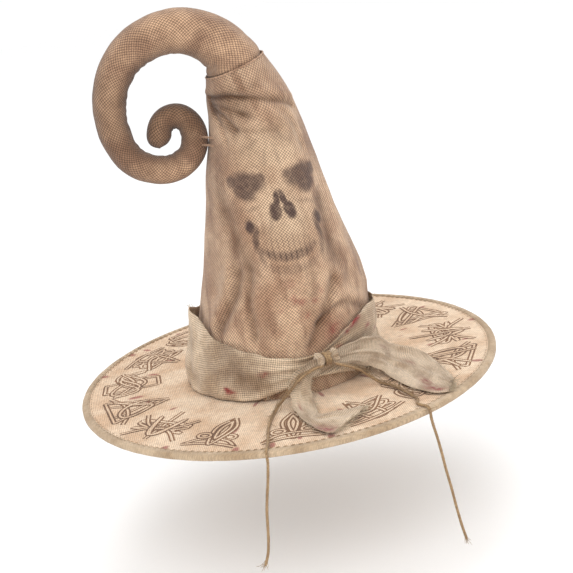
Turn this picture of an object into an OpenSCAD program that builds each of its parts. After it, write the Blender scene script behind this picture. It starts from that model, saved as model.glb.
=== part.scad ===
// Witch's costume hat: a printed sackcloth cone on a wired, foam-cored brim. The cone ends in a
// stuffed curl, a gauze band is gathered at the front, and two jute twine tails hang off the brim.
// Origin: centre of the head opening at the brim's lower face. +Z runs up the cone, the printed
// front faces -Y, and the curl turns towards -X.

/* [Head opening] */
// Radius of the sweatband's inner face, for a head of about 57 cm
head_r = 90.5; // [88:0.5:90.5]
// Height of the sweatband
sweat_h = 31; // [20:1:32]

/* [Brim] */
// Outer radius of the brim over its binding
brim_r = 220; // [215:1:225]
// Thickness of the foam core
core_t = 3.2; // [2.8:0.1:3.6]
// Thickness of the cloth on each face of the brim
cloth_t = 0.9; // [0.6:0.1:1.2]
// Width of the bound edge
binding_w = 8; // [7:1:12]
// Number of stitches in the row along the binding
stitches = 96; // [60:4:120]

/* [Crown] */
// Height of the seam where the cone becomes the curl
crown_h = 326; // [324:1:328]
// Thickness of the sackcloth
sack_t = 1.4; // [1:0.1:1.4]
// Thickness of the stiffened lining
lining_t = 1.0; // [0.6:0.1:1]

/* [Curl] */
// Radius of the curl at the seam
curl_r0 = 31; // [30:0.5:32]
// Radius of the curl near its tip
curl_r1 = 12.3; // [11:0.1:12.5]
// Diameter of the soft wire in the curl
wire_d = 3; // [2:0.5:4]

/* [Twine] */
// Diameter of the jute twine
twine_d = 3; // [2.5:0.1:3]

/* [Hidden] */
$fn = 96;
gap = 0.1;            // clearance between pieces of one body

// Brim levels, from its lower face up
core_z = cloth_t + gap;
top_z = core_z + core_t + gap;
brim_t = top_z + cloth_t;
hole_r = 94.7;        // opening in the brim, just outside the cone's foot
sweat_t = 0.9;        // thickness of the sweatband

// The cone's outline by height: radius, sideways lean of its centre, and tilt of its rings
cone_r = [[0, 94.5], [34, 94.3], [60, 91], [99, 84.5], [132, 76.5], [165, 69], [214, 58.6],
          [260, 48], [285, 43], [305, 38], [crown_h, curl_r0]];
cone_x = [[0, 0], [34, 0], [60, 5], [99, 10], [165, 10], [214, 8.5], [260, 9], [285, 7],
          [305, 3], [crown_h, -1]];
cone_tilt = [[250, 0], [285, 5], [305, 10], [crown_h, 15]];
cone_sides = 40;

// The curl's centre line in the XZ plane: tangent arcs as [angle turned, radius]
curl_start = [-1, crown_h];
curl_heading = 105;
curl_arcs = [[64, 59], [72, 68], [49, 83], [77, 43.9], [113, 27.8], [128, 15.8], [25, 42.6]];
curl_sides = 18;
arc_step = 9;         // degrees between rings

function sum(v, i = 0) = i < len(v) ? v[i] + sum(v, i + 1) : 0;
function arc_len(a) = a[0] * PI / 180 * a[1];
curl_len = sum([for (a = curl_arcs) arc_len(a)]);
// Heading at the start of arc k, and the point reached there
function heading(k) = curl_heading + sum([for (i = [0:1:k - 1]) curl_arcs[i][0]]);
function arc_point(p, h, a, t) =
    p + 2 * a[1] * sin(t / 2) * [cos(h + t / 2), sin(h + t / 2)];
function arc_start(k) =
    k == 0 ? curl_start : arc_point(arc_start(k - 1), heading(k - 1), curl_arcs[k - 1],
                                    curl_arcs[k - 1][0]);
// Stations along the curl: [x, z, heading, length so far]
function arc_stations(k) = let (a = curl_arcs[k], n = ceil(a[0] / arc_step), p = arc_start(k),
        h = heading(k), s = sum([for (i = [0:1:k - 1]) arc_len(curl_arcs[i])]))
    [for (i = [(k == 0 ? 0 : 1):n]) let (t = a[0] * i / n)
        concat(arc_point(p, h, a, t), [h + t, s + arc_len(a) * i / n])];
curl_stations = [for (k = [0:len(curl_arcs) - 1]) each arc_stations(k)];
// The curl's radius falls fast in its first centimetres, then slowly, and closes round at its tip
function curl_r(s) = let (u = 1 - s / curl_len)
    curl_r1 + (curl_r0 - 6 - curl_r1) * pow(max(u, 0), 1.6) + 6 * exp(-s / 14);
function tip_r(s, r, inset) = let (e = curl_len - s - inset)
    e < r ? sqrt(max(0.09, r * r - pow(r - max(e, 0), 2))) : r;

// Gauze band by direction round the cone (0 = +X, -90 = front): lower edge, upper edge, stand-off
band_low = [[-180, 6], [-124, 7], [-114, 9], [-104, 14], [-92, 20], [-78, 22], [-66, 18],
            [-50, 12], [-30, 8], [0, 6], [180, 6]];
band_high = [[-180, 84], [-165, 78], [-150, 66], [-134, 60], [-105, 49], [-92, 45], [-78, 46],
             [-60, 60], [-41, 70], [0, 66], [90, 62], [150, 70], [180, 84]];
band_off = [[-180, 4], [-160, 2.5], [-130, 1.5], [-90, 1.5], [0, 2], [120, 1.5], [180, 4]];
band_t = 1.2;
gather = [26, -103, 41];     // middle of the gathered knot
gather_turn = 14;            // its long axis, from +X
neck_r = 4.2;                // its waist under the twine

// Loose gauze: rows across each tail, as [inner edge, outer edge]
tail_t = 1.2;
side_rows = [[[34, -104, 46], [34, -105, 34]], [[58, -93, 50], [54, -99, 27]],
             [[88, -66, 38], [77, -92, 14]], [[112, -20, 8], [86, -107, 8]],
             [[128, -42, 7], [92, -128, 7]], [[137, -82, 7.2], [100, -150, 7.2]],
             [[139, -120, 7.6], [112, -168, 7.6]], [[139, -148, 7.8], [125, -174, 7.8]]];
front_rows = [[[18, -108, 32], [18, -108, 44]], [[8, -108, 26], [0, -109, 42]],
              [[4, -113, 16], [-15, -111, 30]], [[3, -126, 8.5], [-19, -124, 13]],
              [[2, -145, 7], [-17, -148, 7.2]], [[3, -160, 7], [-13, -176, 7.2]],
              [[20, -160, 7.4], [-8, -196, 7.6]], [[46, -166, 7.8], [4, -209, 7.8]]];

// Twine routes, and the pivots where they bend over the bound edge
twine_r = twine_d / 2;
bend = 1.4;                  // distance from the edge to the twine's surface
pivot_z = -1.5;
left_az = -105.9;
right_az = -63.7;
function rim(az, r, z) = [r * cos(az), r * sin(az), z];
pivot_r = brim_r + bend + twine_r - 0.5;
// A point of a hanging tail: sideways along the edge, outwards, and down from its pivot
function hang(az, side, out, down) =
    rim(az, pivot_r + out, pivot_z - down) + side * [-sin(az), cos(az), 0];
lift = brim_t + 2;           // twine's centre above the brim
// Where a tail leaves the brim and bends down over the binding
function over_edge(az) = [rim(az, 205, lift + 0.3), rim(az, 214, lift + 0.4),
                          rim(az, 218.5, lift + 0.6), rim(az, 221.7, lift - 0.6),
                          rim(az, pivot_r, 3.4), rim(az, pivot_r, pivot_z + 1.9)];
left_lay = concat([[21, -112, 38], [8, -113.5, 36], [-6, -115, 30], [-19, -120.5, 21],
                   [-30, -121, 11.5], [-37, -128, lift], [-43, -142, lift], [-49, -160, lift],
                   [-53, -180, lift]], over_edge(left_az));
right_lay = concat([[32, -111, 37], [45, -109, 30], [57, -106, 22], [66, -106, 13],
                    [74, -112, lift], [80, -122, lift], [86, -138, lift], [91, -156, lift],
                    [94, -175, lift]], over_edge(right_az));
left_drop = [for (p = [[0, 0, 0], [-1, 0, 8], [-3, 0.5, 20], [-6, 0.5, 34], [-9, 0, 50],
                       [-11, -0.5, 66], [-13, -0.5, 82], [-16, 0, 96], [-20, 0, 106]])
             hang(left_az, p[0], p[1], p[2])];
right_drop = [for (p = [[0, 0, 0], [1, 0, 8], [3, 0.5, 20], [6, 0.5, 38], [9, 0, 58],
                        [13, -0.5, 80], [16, -0.5, 102], [19, 0, 122], [23, 0, 140]])
              hang(right_az, p[0], p[1], p[2])];

// ---- Solids from rings of points ----

function flip(v) = [for (i = [len(v) - 1:-1:0]) v[i]];
function side_faces(m, n, closed) =
    [for (i = [0:(closed ? m - 1 : m - 2)], j = [0:n - 1])
        let (a = i * n + j, b = i * n + (j + 1) % n,
             c = ((i + 1) % m) * n + (j + 1) % n, d = ((i + 1) % m) * n + j)
        each [[a, c, b], [a, d, c]]];

// A solid through rings, closed by a flat face at each end
module bar(rings) {
    n = len(rings[0]);
    m = len(rings);
    ends = [[for (j = [0:n - 1]) j], [for (j = [n - 1:-1:0]) (m - 1) * n + j]];
    polyhedron(points = [for (r = rings) each r], faces = concat(side_faces(m, n, false), ends));
}

// A wall between an outer and an inner run of rings
module sleeve(outer, inner) {
    rings = concat(outer, flip(inner));
    polyhedron(points = [for (r = rings) each r],
               faces = side_faces(len(rings), len(rings[0]), true));
}

function unit(v) = v / norm(v);
function bend_point(a, b, c, d, t) =
    0.5 * (2 * b + (c - a) * t + (2 * a - 5 * b + 4 * c - d) * t * t
           + (3 * b - a - 3 * c + d) * t * t * t);
// A smooth curve through a route's points, with one extra point halfway along long stretches
function smooth(p) = let (k = len(p) - 1) concat(
    [for (i = [0:k - 1]) let (n = norm(p[i + 1] - p[i]) > 11 ? 2 : 1)
        each [for (j = [0:n - 1])
            bend_point(p[max(i - 1, 0)], p[i], p[i + 1], p[min(i + 2, k)], j / n)]],
    [p[k]]);

// Twine: a round section swept along a route, square to it at every ring
module twine(route, round_start = false, round_end = false) {
    p = smooth(route);
    k = len(p) - 1;
    side = [0, 0, 1];
    dirs = [for (i = [0:k]) unit(p[min(i + 1, k)] - p[max(i - 1, 0)])];
    function frame_u(d) = abs(d[2]) > 0.9 ? unit(cross(d, [cos(left_az), sin(left_az), 0]))
                                          : unit(cross(d, side));
    us = [for (i = [0:k]) i == 0 ? frame_u(dirs[0]) : 0];
    function carried(i) = i == 0 ? us[0]
        : let (u = carried(i - 1)) unit(u - (u * dirs[i]) * dirs[i]);
    function ring(i, r, along = 0) = let (u = carried(i), v = cross(dirs[i], u))
        [for (a = [0:45:315]) p[i] + along * dirs[i] + r * (cos(a) * u + sin(a) * v)];
    caps = [80, 50, 25];
    body = [for (i = [(round_start ? 1 : 0):(round_end ? k - 1 : k)]) ring(i, twine_r)];
    first = round_start ? concat([for (c = caps) ring(0, twine_r * cos(c), -twine_r * sin(c))],
                                 [ring(0, twine_r)]) : [];
    last = round_end ? concat([ring(k, twine_r)],
                              [for (c = flip(caps)) ring(k, twine_r * cos(c), twine_r * sin(c))])
                     : [];
    bar(concat(first, body, last));
}

// Ring of the cone at a height, moved out by off
function cone_ring(z, off) = let (r = lookup(z, cone_r) + off, x = lookup(z, cone_x),
                                  t = lookup(z, cone_tilt))
    [for (i = [0:cone_sides - 1]) let (a = 360 * i / cone_sides)
        [x + r * cos(a) * cos(t), r * sin(a), z + r * cos(a) * sin(t)]];
cone_levels = [0, 34, 60, 99, 132, 165, 214, 250, 268, 285, 295, 305, 316, crown_h];
function cone_rings(off, z0, z1) = concat([cone_ring(z0, off)],
    [for (z = cone_levels) if (z > z0 + 2 && z < z1 - 2) cone_ring(z, off)], [cone_ring(z1, off)]);

// Ring of the curl at a station, with the tip rounded
function curl_ring(st, r, sides) = let (h = st[2])
    [for (i = [0:sides - 1]) let (a = 360 * i / sides)
        [st[0] + r * cos(a) * sin(h), r * sin(a), st[1] - r * cos(a) * cos(h)]];
function curl_rings(inset, sides) =
    [for (st = curl_stations) curl_ring(st, tip_r(st[3], curl_r(st[3]) - inset, inset), sides)];

// ---- Crown ----

// Printed sackcloth cone, open at the foot and at the curl
module crown_shell() {
    color("#C2A084") sleeve(cone_rings(0, 0, crown_h - 0.5), cone_rings(-sack_t, 0, crown_h - 0.5));
}

// Stiffened lining that keeps the cone standing
module crown_lining() {
    outer = -sack_t - gap;
    color("#8A7763") sleeve(cone_rings(outer, 1, 288), cone_rings(outer - lining_t, 1, 288));
}

// Folded seam down the back of the cone, as a strip of even width
module crown_back_seam() {
    w = 4;
    levels = [88, 99, 132, 165, 214, 250, 285, 305, 318];
    color("#A98B70") bar([for (z = levels) let (r = lookup(z, cone_r), x = lookup(z, cone_x))
        [[x - w, r + gap + 0.1, z], [x - w, r + 1.3, z], [x + w, r + 1.3, z],
         [x + w, r + gap + 0.1, z]]]);
}

// ---- Curl ----

// Cloth tube of the curl, drawn shut to a pinhole at its tip
module curl_skin() {
    color("#A07E64") sleeve(curl_rings(0, curl_sides), curl_rings(sack_t, curl_sides));
}

// Fibre stuffing from the top of the cone to the tip, round the wire
module curl_filling() {
    sides = 14;
    inset = sack_t + 0.4;
    last = len(curl_stations) - 3;
    function foot(z, off) = let (r = lookup(z, cone_r) + off, x = lookup(z, cone_x),
                                 t = lookup(z, cone_tilt))
        [for (i = [0:sides - 1]) let (a = 360 * i / sides)
            [x + r * cos(a) * cos(t), r * sin(a), z + r * cos(a) * sin(t)]];
    levels = [292, 305, 316];
    outer = [for (i = [0:last]) let (st = curl_stations[i])
             curl_ring(st, tip_r(st[3], curl_r(st[3]) - inset - 0.5, inset + 0.5), sides)];
    bore = wire_d / 2 + 0.3;
    inner = [for (i = [0:last]) curl_ring(curl_stations[i], bore, sides)];
    color("#E8E2D6") sleeve(
        concat([for (z = levels) foot(z, -inset - 0.5)], outer),
        concat([for (z = levels) let (t = lookup(z, cone_tilt), x = lookup(z, cone_x))
                [for (i = [0:sides - 1]) let (a = 360 * i / sides)
                    [x + bore * cos(a) * cos(t), bore * sin(a), z + bore * cos(a) * sin(t)]]],
               inner));
}

// Soft wire that holds the curl's shape
module curl_wire() {
    sides = 8;
    last = len(curl_stations) - 4;
    foot = [for (z = [296, 305, 316]) let (t = lookup(z, cone_tilt), x = lookup(z, cone_x))
            [for (i = [0:sides - 1]) let (a = 360 * i / sides)
                [x + wire_d / 2 * cos(a) * cos(t), wire_d / 2 * sin(a),
                 z + wire_d / 2 * cos(a) * sin(t)]]];
    color("#9AA0A6") bar(concat(foot,
        [for (i = [0:last]) curl_ring(curl_stations[i], wire_d / 2, sides)]));
}

// Raised seam between cone and curl
module curl_seam() {
    roll = 1.1;
    color("#8C6E56") translate([curl_start[0], 0, curl_start[1]]) rotate([0, 90 - curl_heading, 0])
        rotate_extrude() translate([curl_r0 + roll + gap, 0]) circle(roll, $fn = 16);
}

// Two thread loops that hold the curl against the cone
module curl_tack() {
    color("#6B5140") for (z = [256, 264])
        hull() {
            translate([-48.4, -11.8, z]) sphere(0.8, $fn = 12);
            translate([-37, -19.6, z - 2]) sphere(0.8, $fn = 12);
        }
}

// ---- Brim ----

module annulus(r0, r1, z0, z1) {
    rotate_extrude() translate([r0, z0]) square([r1 - r0, z1 - z0]);
}

// Printed sackcloth face of the brim
module brim_top() {
    color("#D8C0A8") annulus(hole_r, brim_r - 0.8, top_z, brim_t);
}

// Foam core
module brim_core() {
    color("#E6DFD0") annulus(hole_r, brim_r - 4, core_z, core_z + core_t);
}

// Plain cloth face under the brim
module brim_underside() {
    color("#B59E85") annulus(hole_r, brim_r - 0.8, 0, cloth_t);
}

// Bias strip folded round the edge
module brim_binding() {
    leaf = 0.6;
    lo = -gap - leaf;
    hi = brim_t + gap + leaf;
    color("#C5B29B") rotate_extrude() polygon([
        [brim_r - binding_w, hi], [brim_r - 1, hi], [brim_r, hi - 1], [brim_r, lo + 1],
        [brim_r - 1, lo], [brim_r - binding_w, lo], [brim_r - binding_w, lo + leaf],
        [brim_r - 0.7, lo + leaf], [brim_r - 0.7, hi - leaf], [brim_r - binding_w, hi - leaf]]);
}

// Spring wire that keeps the edge flat
module brim_wire() {
    r = 1.2;
    color("#8D9296") rotate_extrude()
        translate([brim_r - 0.8 - gap - r - 0.5, core_z + core_t / 2]) circle(r, $fn = 16);
}

// Row of stitches just inside the binding
module brim_stitching() {
    row_r = brim_r - binding_w - 1.2;
    stitch = 0.7 * 2 * PI * row_r / stitches;
    color("#8A6A4C") for (i = [0:stitches - 1])
        rotate([0, 0, 360 * (i + 0.5) / stitches])
            translate([row_r - 0.5, -stitch / 2, brim_t + 0.05]) cube([1, stitch, 0.6]);
}

// Tape under the brim that covers the cone's seam allowance
module crown_seam_tape() {
    color("#A38C74") annulus(93.2, 101, -0.8, -gap);
}

// ---- Head opening ----

// Woven band against the head; its inner face is a true cylinder
module sweatband() {
    color("#4A3B30") annulus(head_r, head_r + sweat_t, 0, sweat_h);
}

// Stitches that hold the sweatband's foot to the lining
module sweatband_stitching() {
    count = 48;
    stitch = 0.6 * 2 * PI * head_r / count;
    color("#D9C7AE") for (i = [0:count - 1])
        rotate([0, 0, 360 * i / count])
            translate([head_r + 0.2, -stitch / 2, -0.9]) cube([1, stitch, 0.8]);
}

// ---- Gauze ----

// Band wrapped round the cone's foot
module hat_band() {
    sides = 60;
    function row(u, extra) = [for (i = [0:sides - 1])
        let (a = 360 * i / sides - 180, z = (1 - u) * lookup(a, band_low) + u * lookup(a, band_high),
             r = lookup(z, cone_r) + lookup(a, band_off) + extra + 2 * pow(1 - u, 3))
        [lookup(z, cone_x) + r * cos(a), r * sin(a), z]];
    steps = [0, 0.25, 0.5, 0.75, 1];
    color("#AE957C") sleeve([for (u = steps) row(u, band_t)], [for (u = steps) row(u, 0)]);
}

// Gauze gathered into a knot at the front, waisted where the twine grips it
module band_gather() {
    color("#BFAA90") translate(gather) rotate([0, 90, gather_turn]) rotate_extrude()
        polygon([[0, -11], [5, -11], [6.6, -8], [neck_r, -3], [neck_r, 3], [6.6, 8], [5, 11],
                 [0, 11]]);
}

// Thread tacks that hold the band to the cone
module band_tacks() {
    color("#D8CDBB") for (a = [-150, -30, 30, 90, 150]) {
        z = (lookup(a, band_low) + lookup(a, band_high)) / 2;
        r = lookup(z, cone_r) + lookup(a, band_off) + band_t + 1.6;
        translate([lookup(z, cone_x) + r * cos(a), r * sin(a), z])
            rotate([0, 90, a]) cylinder(h = 0.8, r = 1.5, $fn = 24);
    }
}

// A loose piece of gauze through its rows, its thickness square to the cloth
module gauze(rows) {
    k = len(rows) - 1;
    function middle(i) = (rows[i][0] + rows[i][1]) / 2;
    bar([for (i = [0:k]) let (r = rows[i], along = middle(min(i + 1, k)) - middle(max(i - 1, 0)),
                             back = -tail_t * unit(cross(r[1] - r[0], along)))
        [r[0], r[1], r[1] + back, r[0] + back]]);
}

// Wide tail that fans out over the right of the brim
module side_tail() {
    color("#B9A288") gauze(side_rows);
}

// Tail that drops to the front of the brim
module front_tail() {
    color("#A1876E") gauze(front_rows);
}

// ---- Twine ----

// Three turns of twine round the waist of the gather
module twine_wrap() {
    r = 1.25;
    color("#9A7A52") translate(gather) rotate([0, 90, gather_turn])
        for (x = [-1, 0, 1] * 2.6 * r / 1.25)
            translate([0, 0, x]) rotate_extrude()
                translate([neck_r + r + 0.1 + abs(x) * 0.5, 0]) circle(r, $fn = 16);
}

module twine_left_lay() {
    color("#A68262") twine(left_lay);
}

module twine_left_drop() {
    color("#A68262") twine(left_drop, round_start = true, round_end = true);
}

module twine_right_lay() {
    color("#A68262") twine(right_lay);
}

module twine_right_drop() {
    color("#A68262") twine(right_drop, round_start = true, round_end = true);
}

crown_shell();
crown_lining();
crown_back_seam();
curl_skin();
curl_filling();
curl_wire();
curl_seam();
curl_tack();
brim_top();
brim_core();
brim_underside();
brim_binding();
brim_wire();
brim_stitching();
crown_seam_tape();
sweatband();
sweatband_stitching();
hat_band();
band_gather();
band_tacks();
side_tail();
front_tail();
twine_wrap();
twine_left_lay();
twine_left_drop();
twine_right_lay();
twine_right_drop();
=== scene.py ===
"""A witch's costume hat: printed sackcloth cone with a stuffed curl, a flat printed brim,
a gauze band gathered at the front and two jute twine tails. Sizes in the tables are in
millimetres in the model's frame: +Z up the cone, -Y out of its printed front."""

import math
import random

import bmesh
import bpy
import numpy as np
from bpy.props import FloatProperty, FloatVectorProperty, IntProperty, PointerProperty
from mathutils import Matrix, Vector, noise


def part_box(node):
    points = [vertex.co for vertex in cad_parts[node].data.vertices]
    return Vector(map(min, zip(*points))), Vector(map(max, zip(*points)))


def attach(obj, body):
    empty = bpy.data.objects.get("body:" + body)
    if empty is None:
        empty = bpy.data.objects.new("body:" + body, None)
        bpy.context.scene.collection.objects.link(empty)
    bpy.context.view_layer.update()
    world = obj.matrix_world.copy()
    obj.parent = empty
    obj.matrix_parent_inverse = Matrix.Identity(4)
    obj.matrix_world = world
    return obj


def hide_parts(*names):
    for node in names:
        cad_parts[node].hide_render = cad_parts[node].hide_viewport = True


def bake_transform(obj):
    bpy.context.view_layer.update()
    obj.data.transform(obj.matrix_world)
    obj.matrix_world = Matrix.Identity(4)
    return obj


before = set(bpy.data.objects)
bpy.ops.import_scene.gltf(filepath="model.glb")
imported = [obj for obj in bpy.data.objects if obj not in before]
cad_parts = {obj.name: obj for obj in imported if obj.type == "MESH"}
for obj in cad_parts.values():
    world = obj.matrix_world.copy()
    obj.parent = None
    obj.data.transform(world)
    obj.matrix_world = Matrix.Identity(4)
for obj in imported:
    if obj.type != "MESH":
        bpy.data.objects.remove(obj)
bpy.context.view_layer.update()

bl_info = {
    "name": "Witch Hat",
    "version": (1, 0, 0),
    "blender": (4, 5, 0),
    "location": "View3D > Sidebar > Witch Hat",
    "description": "Builds a witch's costume hat, piece by piece, around its CAD frame",
    "category": "Object",
}

MM = 0.001
MAP_RADIUS = 165.0              # where the brim's map of drops is true round the ring
DROP_SHORTENING = 0.4           # how much that map shrinks distances along a radius
EDGE_REACH = 13.0               # gauze this near the brim's edge is lifted over the binding
FLOOR_LEVEL = -172.0            # below the ends of the twine, with the hat hung clear of it
BRIM_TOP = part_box("brim_top")[1].z / MM
BRIM_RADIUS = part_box("brim_binding")[1].x / MM
HOLE_RADIUS = 94.8
FOOT = 2.0                      # lowest level of the cone's own cloth
SEAM_HEIGHT = 326.0

# The cone's outline by height: radius, sideways lean and tilt of its rings
CONE_RADIUS = [(0, 94.5), (34, 94.3), (60, 91), (99, 84.5), (132, 76.5), (165, 69), (214, 58.6),
               (260, 48), (285, 43), (305, 38), (SEAM_HEIGHT, 31)]
CONE_LEAN = [(0, 0), (34, 0), (60, 5), (99, 10), (165, 10), (214, 8.5), (260, 9), (285, 7),
             (305, 3), (SEAM_HEIGHT, -1)]
CONE_TILT = [(0, 0), (250, 0), (285, 5), (305, 10), (SEAM_HEIGHT, 15)]
FACE_DIRECTION = -88.0          # the print's middle, round the cone from +X
# Folds in the cone: points (along the cloth from the print's middle, height), width, depth
CONE_FOLDS = [
    ([(-58, 128), (-66, 108), (-92, 72)], 6.0, -4.2),
    ([(-70, 130), (-82, 104), (-104, 76)], 7.0, 2.6),
    ([(-44, 132), (-54, 98), (-49, 68)], 5.0, -3.4),
    ([(-30, 126), (-38, 96), (-30, 64)], 9.0, 2.2),
    ([(40, 112), (24, 84), (9, 54)], 5.5, -4.0),
    ([(56, 118), (44, 104), (30, 92)], 8.0, 2.4),
    ([(16, 72), (36, 85), (52, 85), (80, 72)], 3.6, -3.0),
    ([(20, 80), (38, 93), (54, 93), (84, 80)], 5.0, 1.8),
    ([(-52, 306), (-24, 305), (-2, 297), (21, 288), (49, 277)], 3.0, -3.6),
    ([(-52, 313), (-24, 312), (-1, 305), (22, 296), (50, 285)], 5.0, 2.2),
    ([(-52, 300), (-34, 295), (-12, 281)], 2.6, -2.2),
    ([(-53, 296), (-38, 285), (-28, 268)], 3.0, -2.4),
    ([(-54, 290), (-45, 276), (-42, 258)], 3.0, -2.0),
    ([(-40, 271), (-14, 266), (16, 262)], 2.6, -1.5),
    ([(24, 278), (36, 262), (42, 240)], 4.0, -1.8),
    ([(-16, 284), (-12, 296)], 9.0, -2.6),
    ([(-48, 288), (-28, 272)], 8.0, -2.0),
    ([(8, 276), (36, 268)], 8.0, 1.6),
    ([(-62, 200), (-54, 160), (-60, 140)], 10.0, -2.0),
    ([(48, 188), (46, 140), (60, 110)], 9.0, -2.2),
    ([(70, 200), (74, 140), (84, 100)], 11.0, 2.0),
    ([(150, 210), (170, 120), (160, 70)], 12.0, -2.6),
    ([(-150, 220), (-168, 120), (-176, 80)], 12.0, -2.2),
    ([(110, 230), (124, 140), (120, 90)], 10.0, 1.8),
]

# The curl's centre line: tangent arcs as (degrees turned, radius)
CURL_ARCS = [(64, 59), (72, 68), (49, 83), (77, 43.9), (113, 27.8), (128, 15.8), (25, 42.6)]
CURL_HEADING = 105.0
CURL_START = (-1.0, SEAM_HEIGHT)
CURL_THICK, CURL_THIN = 31.0, 12.3

# Gauze band round the cone by direction: lower edge, upper edge, stand-off from the cone
BAND_LOW = [(-180, 6.2), (-150, 6.2), (-124, 7), (-114, 9), (-104, 14), (-92, 20), (-78, 22),
            (-66, 18), (-50, 12), (-30, 8), (0, 6.2), (90, 6.2), (180, 6.2)]
BAND_HIGH = [(-180, 86), (-165, 79), (-150, 66), (-134, 60), (-105, 49), (-92, 46), (-78, 47),
             (-60, 62), (-41, 71), (0, 66), (90, 62), (150, 72), (180, 86)]
BAND_OFF = [(-180, 7), (-160, 4), (-130, 2), (-90, 2.4), (-60, 2), (0, 2.5), (120, 2), (180, 7)]
GATHER = Vector((26, -103, 41))
GATHER_TURN = 14.0
GATHER_DIRECTION = -77.0        # of the knot, round the cone from +X

# Rows across each loose gauze tail: inner edge, outer edge
SIDE_ROWS = [((34, -104, 46), (34, -105, 34)), ((58, -93, 50), (54, -99, 27)),
             ((88, -66, 38), (77, -92, 14)), ((112, -20, 8), (86, -107, 8)),
             ((128, -42, 7), (92, -128, 7)), ((137, -82, 7.2), (100, -150, 7.2)),
             ((139, -120, 7.6), (112, -168, 7.6)), ((139, -148, 7.8), (125, -174, 7.8))]
FRONT_ROWS = [((18, -108, 32), (18, -108, 44)), ((8, -108, 26), (0, -109, 42)),
              ((4, -113, 16), (-15, -111, 30)), ((3, -126, 8.5), (-19, -124, 13)),
              ((2, -145, 7), (-17, -148, 7.2)), ((3, -160, 7), (-13, -176, 7.2)),
              ((20, -160, 7.4), (-8, -196, 7.6)), ((46, -166, 7.8), (4, -209, 7.8))]

# Twine: the routes of the CAD model, over the brim and then down from each pivot
TWINE_DIAMETER = 3.0
LEFT_EDGE, RIGHT_EDGE = -105.9, -63.7
PIVOT_RADIUS, PIVOT_Z = 222.4, -1.5
LIFT = BRIM_TOP + 2.0


CAMERA_ANGLES = (-8, 17.0981734, 9.73)  # turned from the front, raised, and tipped, in degrees
CAMERA_ASIDE = 0.0130           # metres right of the hat's axis
CAMERA_AIM = 0.0904             # height in metres that it looks at
CAMERA_DISTANCE = 1.40938       # metres from there


def rim(direction, radius, z):
    """A point over the brim by its direction and radius."""
    angle = math.radians(direction)
    return Vector((radius * math.cos(angle), radius * math.sin(angle), z))


def hang(direction, side, out, down):
    """A point of a hanging tail: along the edge, outwards, and down from its pivot."""
    along = rim(direction + 90, side, 0)
    return rim(direction, PIVOT_RADIUS + out, PIVOT_Z - down) + along


def over_edge(direction):
    """Where a tail leaves the brim and bends down over the binding."""
    return [rim(direction, 205, LIFT + 0.3), rim(direction, 214, LIFT + 0.4),
            rim(direction, 218.5, LIFT + 0.6), rim(direction, 221.7, LIFT - 0.6),
            rim(direction, PIVOT_RADIUS, 3.4), rim(direction, PIVOT_RADIUS, PIVOT_Z + 1.9)]


LEFT_LAY = [(21, -112, 38), (8, -113.5, 36), (-6, -115, 30), (-19, -120.5, 21),
            (-30, -121, 11.5), (-37, -128, LIFT), (-43, -142, LIFT), (-49, -160, LIFT),
            (-53, -180, LIFT),
            *over_edge(LEFT_EDGE)]
RIGHT_LAY = [(32, -111, 37), (45, -109, 30), (57, -106, 22), (66, -106, 13), (74, -112, LIFT),
             (80, -122, LIFT), (86, -138, LIFT), (91, -156, LIFT), (94, -175, LIFT),
             *over_edge(RIGHT_EDGE)]
LEFT_DROP = [hang(LEFT_EDGE, *p) for p in
             [(0, 0, 0), (-1, 0, 8), (-3, 0.5, 20), (-6, 0.5, 34), (-9, 0, 50), (-11, -0.5, 66),
              (-13, -0.5, 82), (-16, 0, 96), (-20, 0, 106)]]
RIGHT_DROP = [hang(RIGHT_EDGE, *p) for p in
              [(0, 0, 0), (1, 0, 8), (3, 0.5, 20), (6, 0.5, 38), (9, 0, 58), (13, -0.5, 80),
               (16, -0.5, 102), (19, 0, 122), (23, 0, 140)]]


# ---- Numbers and shapes ----

def linear(hex_colour):
    """An sRGB hex colour as linear red, green, blue and alpha."""
    parts = [int(hex_colour[i:i + 2], 16) / 255 for i in (1, 3, 5)]
    return [p / 12.92 if p <= 0.04045 else ((p + 0.055) / 1.055) ** 2.4 for p in parts] + [1.0]


def lookup(table, x):
    """Smooth curve through a table of (place, value), read at each x."""
    keys, values = np.array(table, float).T
    slopes = np.gradient(values, keys)
    i = np.clip(np.searchsorted(keys, x, side="right") - 1, 0, len(keys) - 2)
    step = keys[i + 1] - keys[i]
    t = np.clip((x - keys[i]) / step, 0, 1)
    return ((1 + 2 * t) * (1 - t) ** 2 * values[i] + t * (1 - t) ** 2 * step * slopes[i]
            + t * t * (3 - 2 * t) * values[i + 1] - t * t * (1 - t) * step * slopes[i + 1])


def ease(low, high, x):
    """0 below low, 1 above high, and smooth between."""
    t = np.clip((x - low) / (high - low), 0, 1)
    return t * t * (3 - 2 * t)


def ripple(points, size, seed=0.0):
    """Smooth noise from -1 to 1 at each point, with features about size apart."""
    shift = Vector((seed, seed * 1.7, -seed))
    return np.array([noise.noise(Vector(p) / size + shift) for p in points])


def near_line(x, y, line, width):
    """1 on a line of points, falling off softly to 0 over width."""
    nearest = np.full(np.shape(x), 1e9)
    for (x0, y0), (x1, y1) in zip(line, line[1:]):
        along = np.array((x1 - x0, y1 - y0), float)
        t = np.clip(((x - x0) * along[0] + (y - y0) * along[1]) / (along @ along), 0, 1)
        nearest = np.minimum(nearest, np.hypot(x - x0 - t * along[0], y - y0 - t * along[1]))
    return np.exp(-(nearest / width) ** 2)


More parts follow.
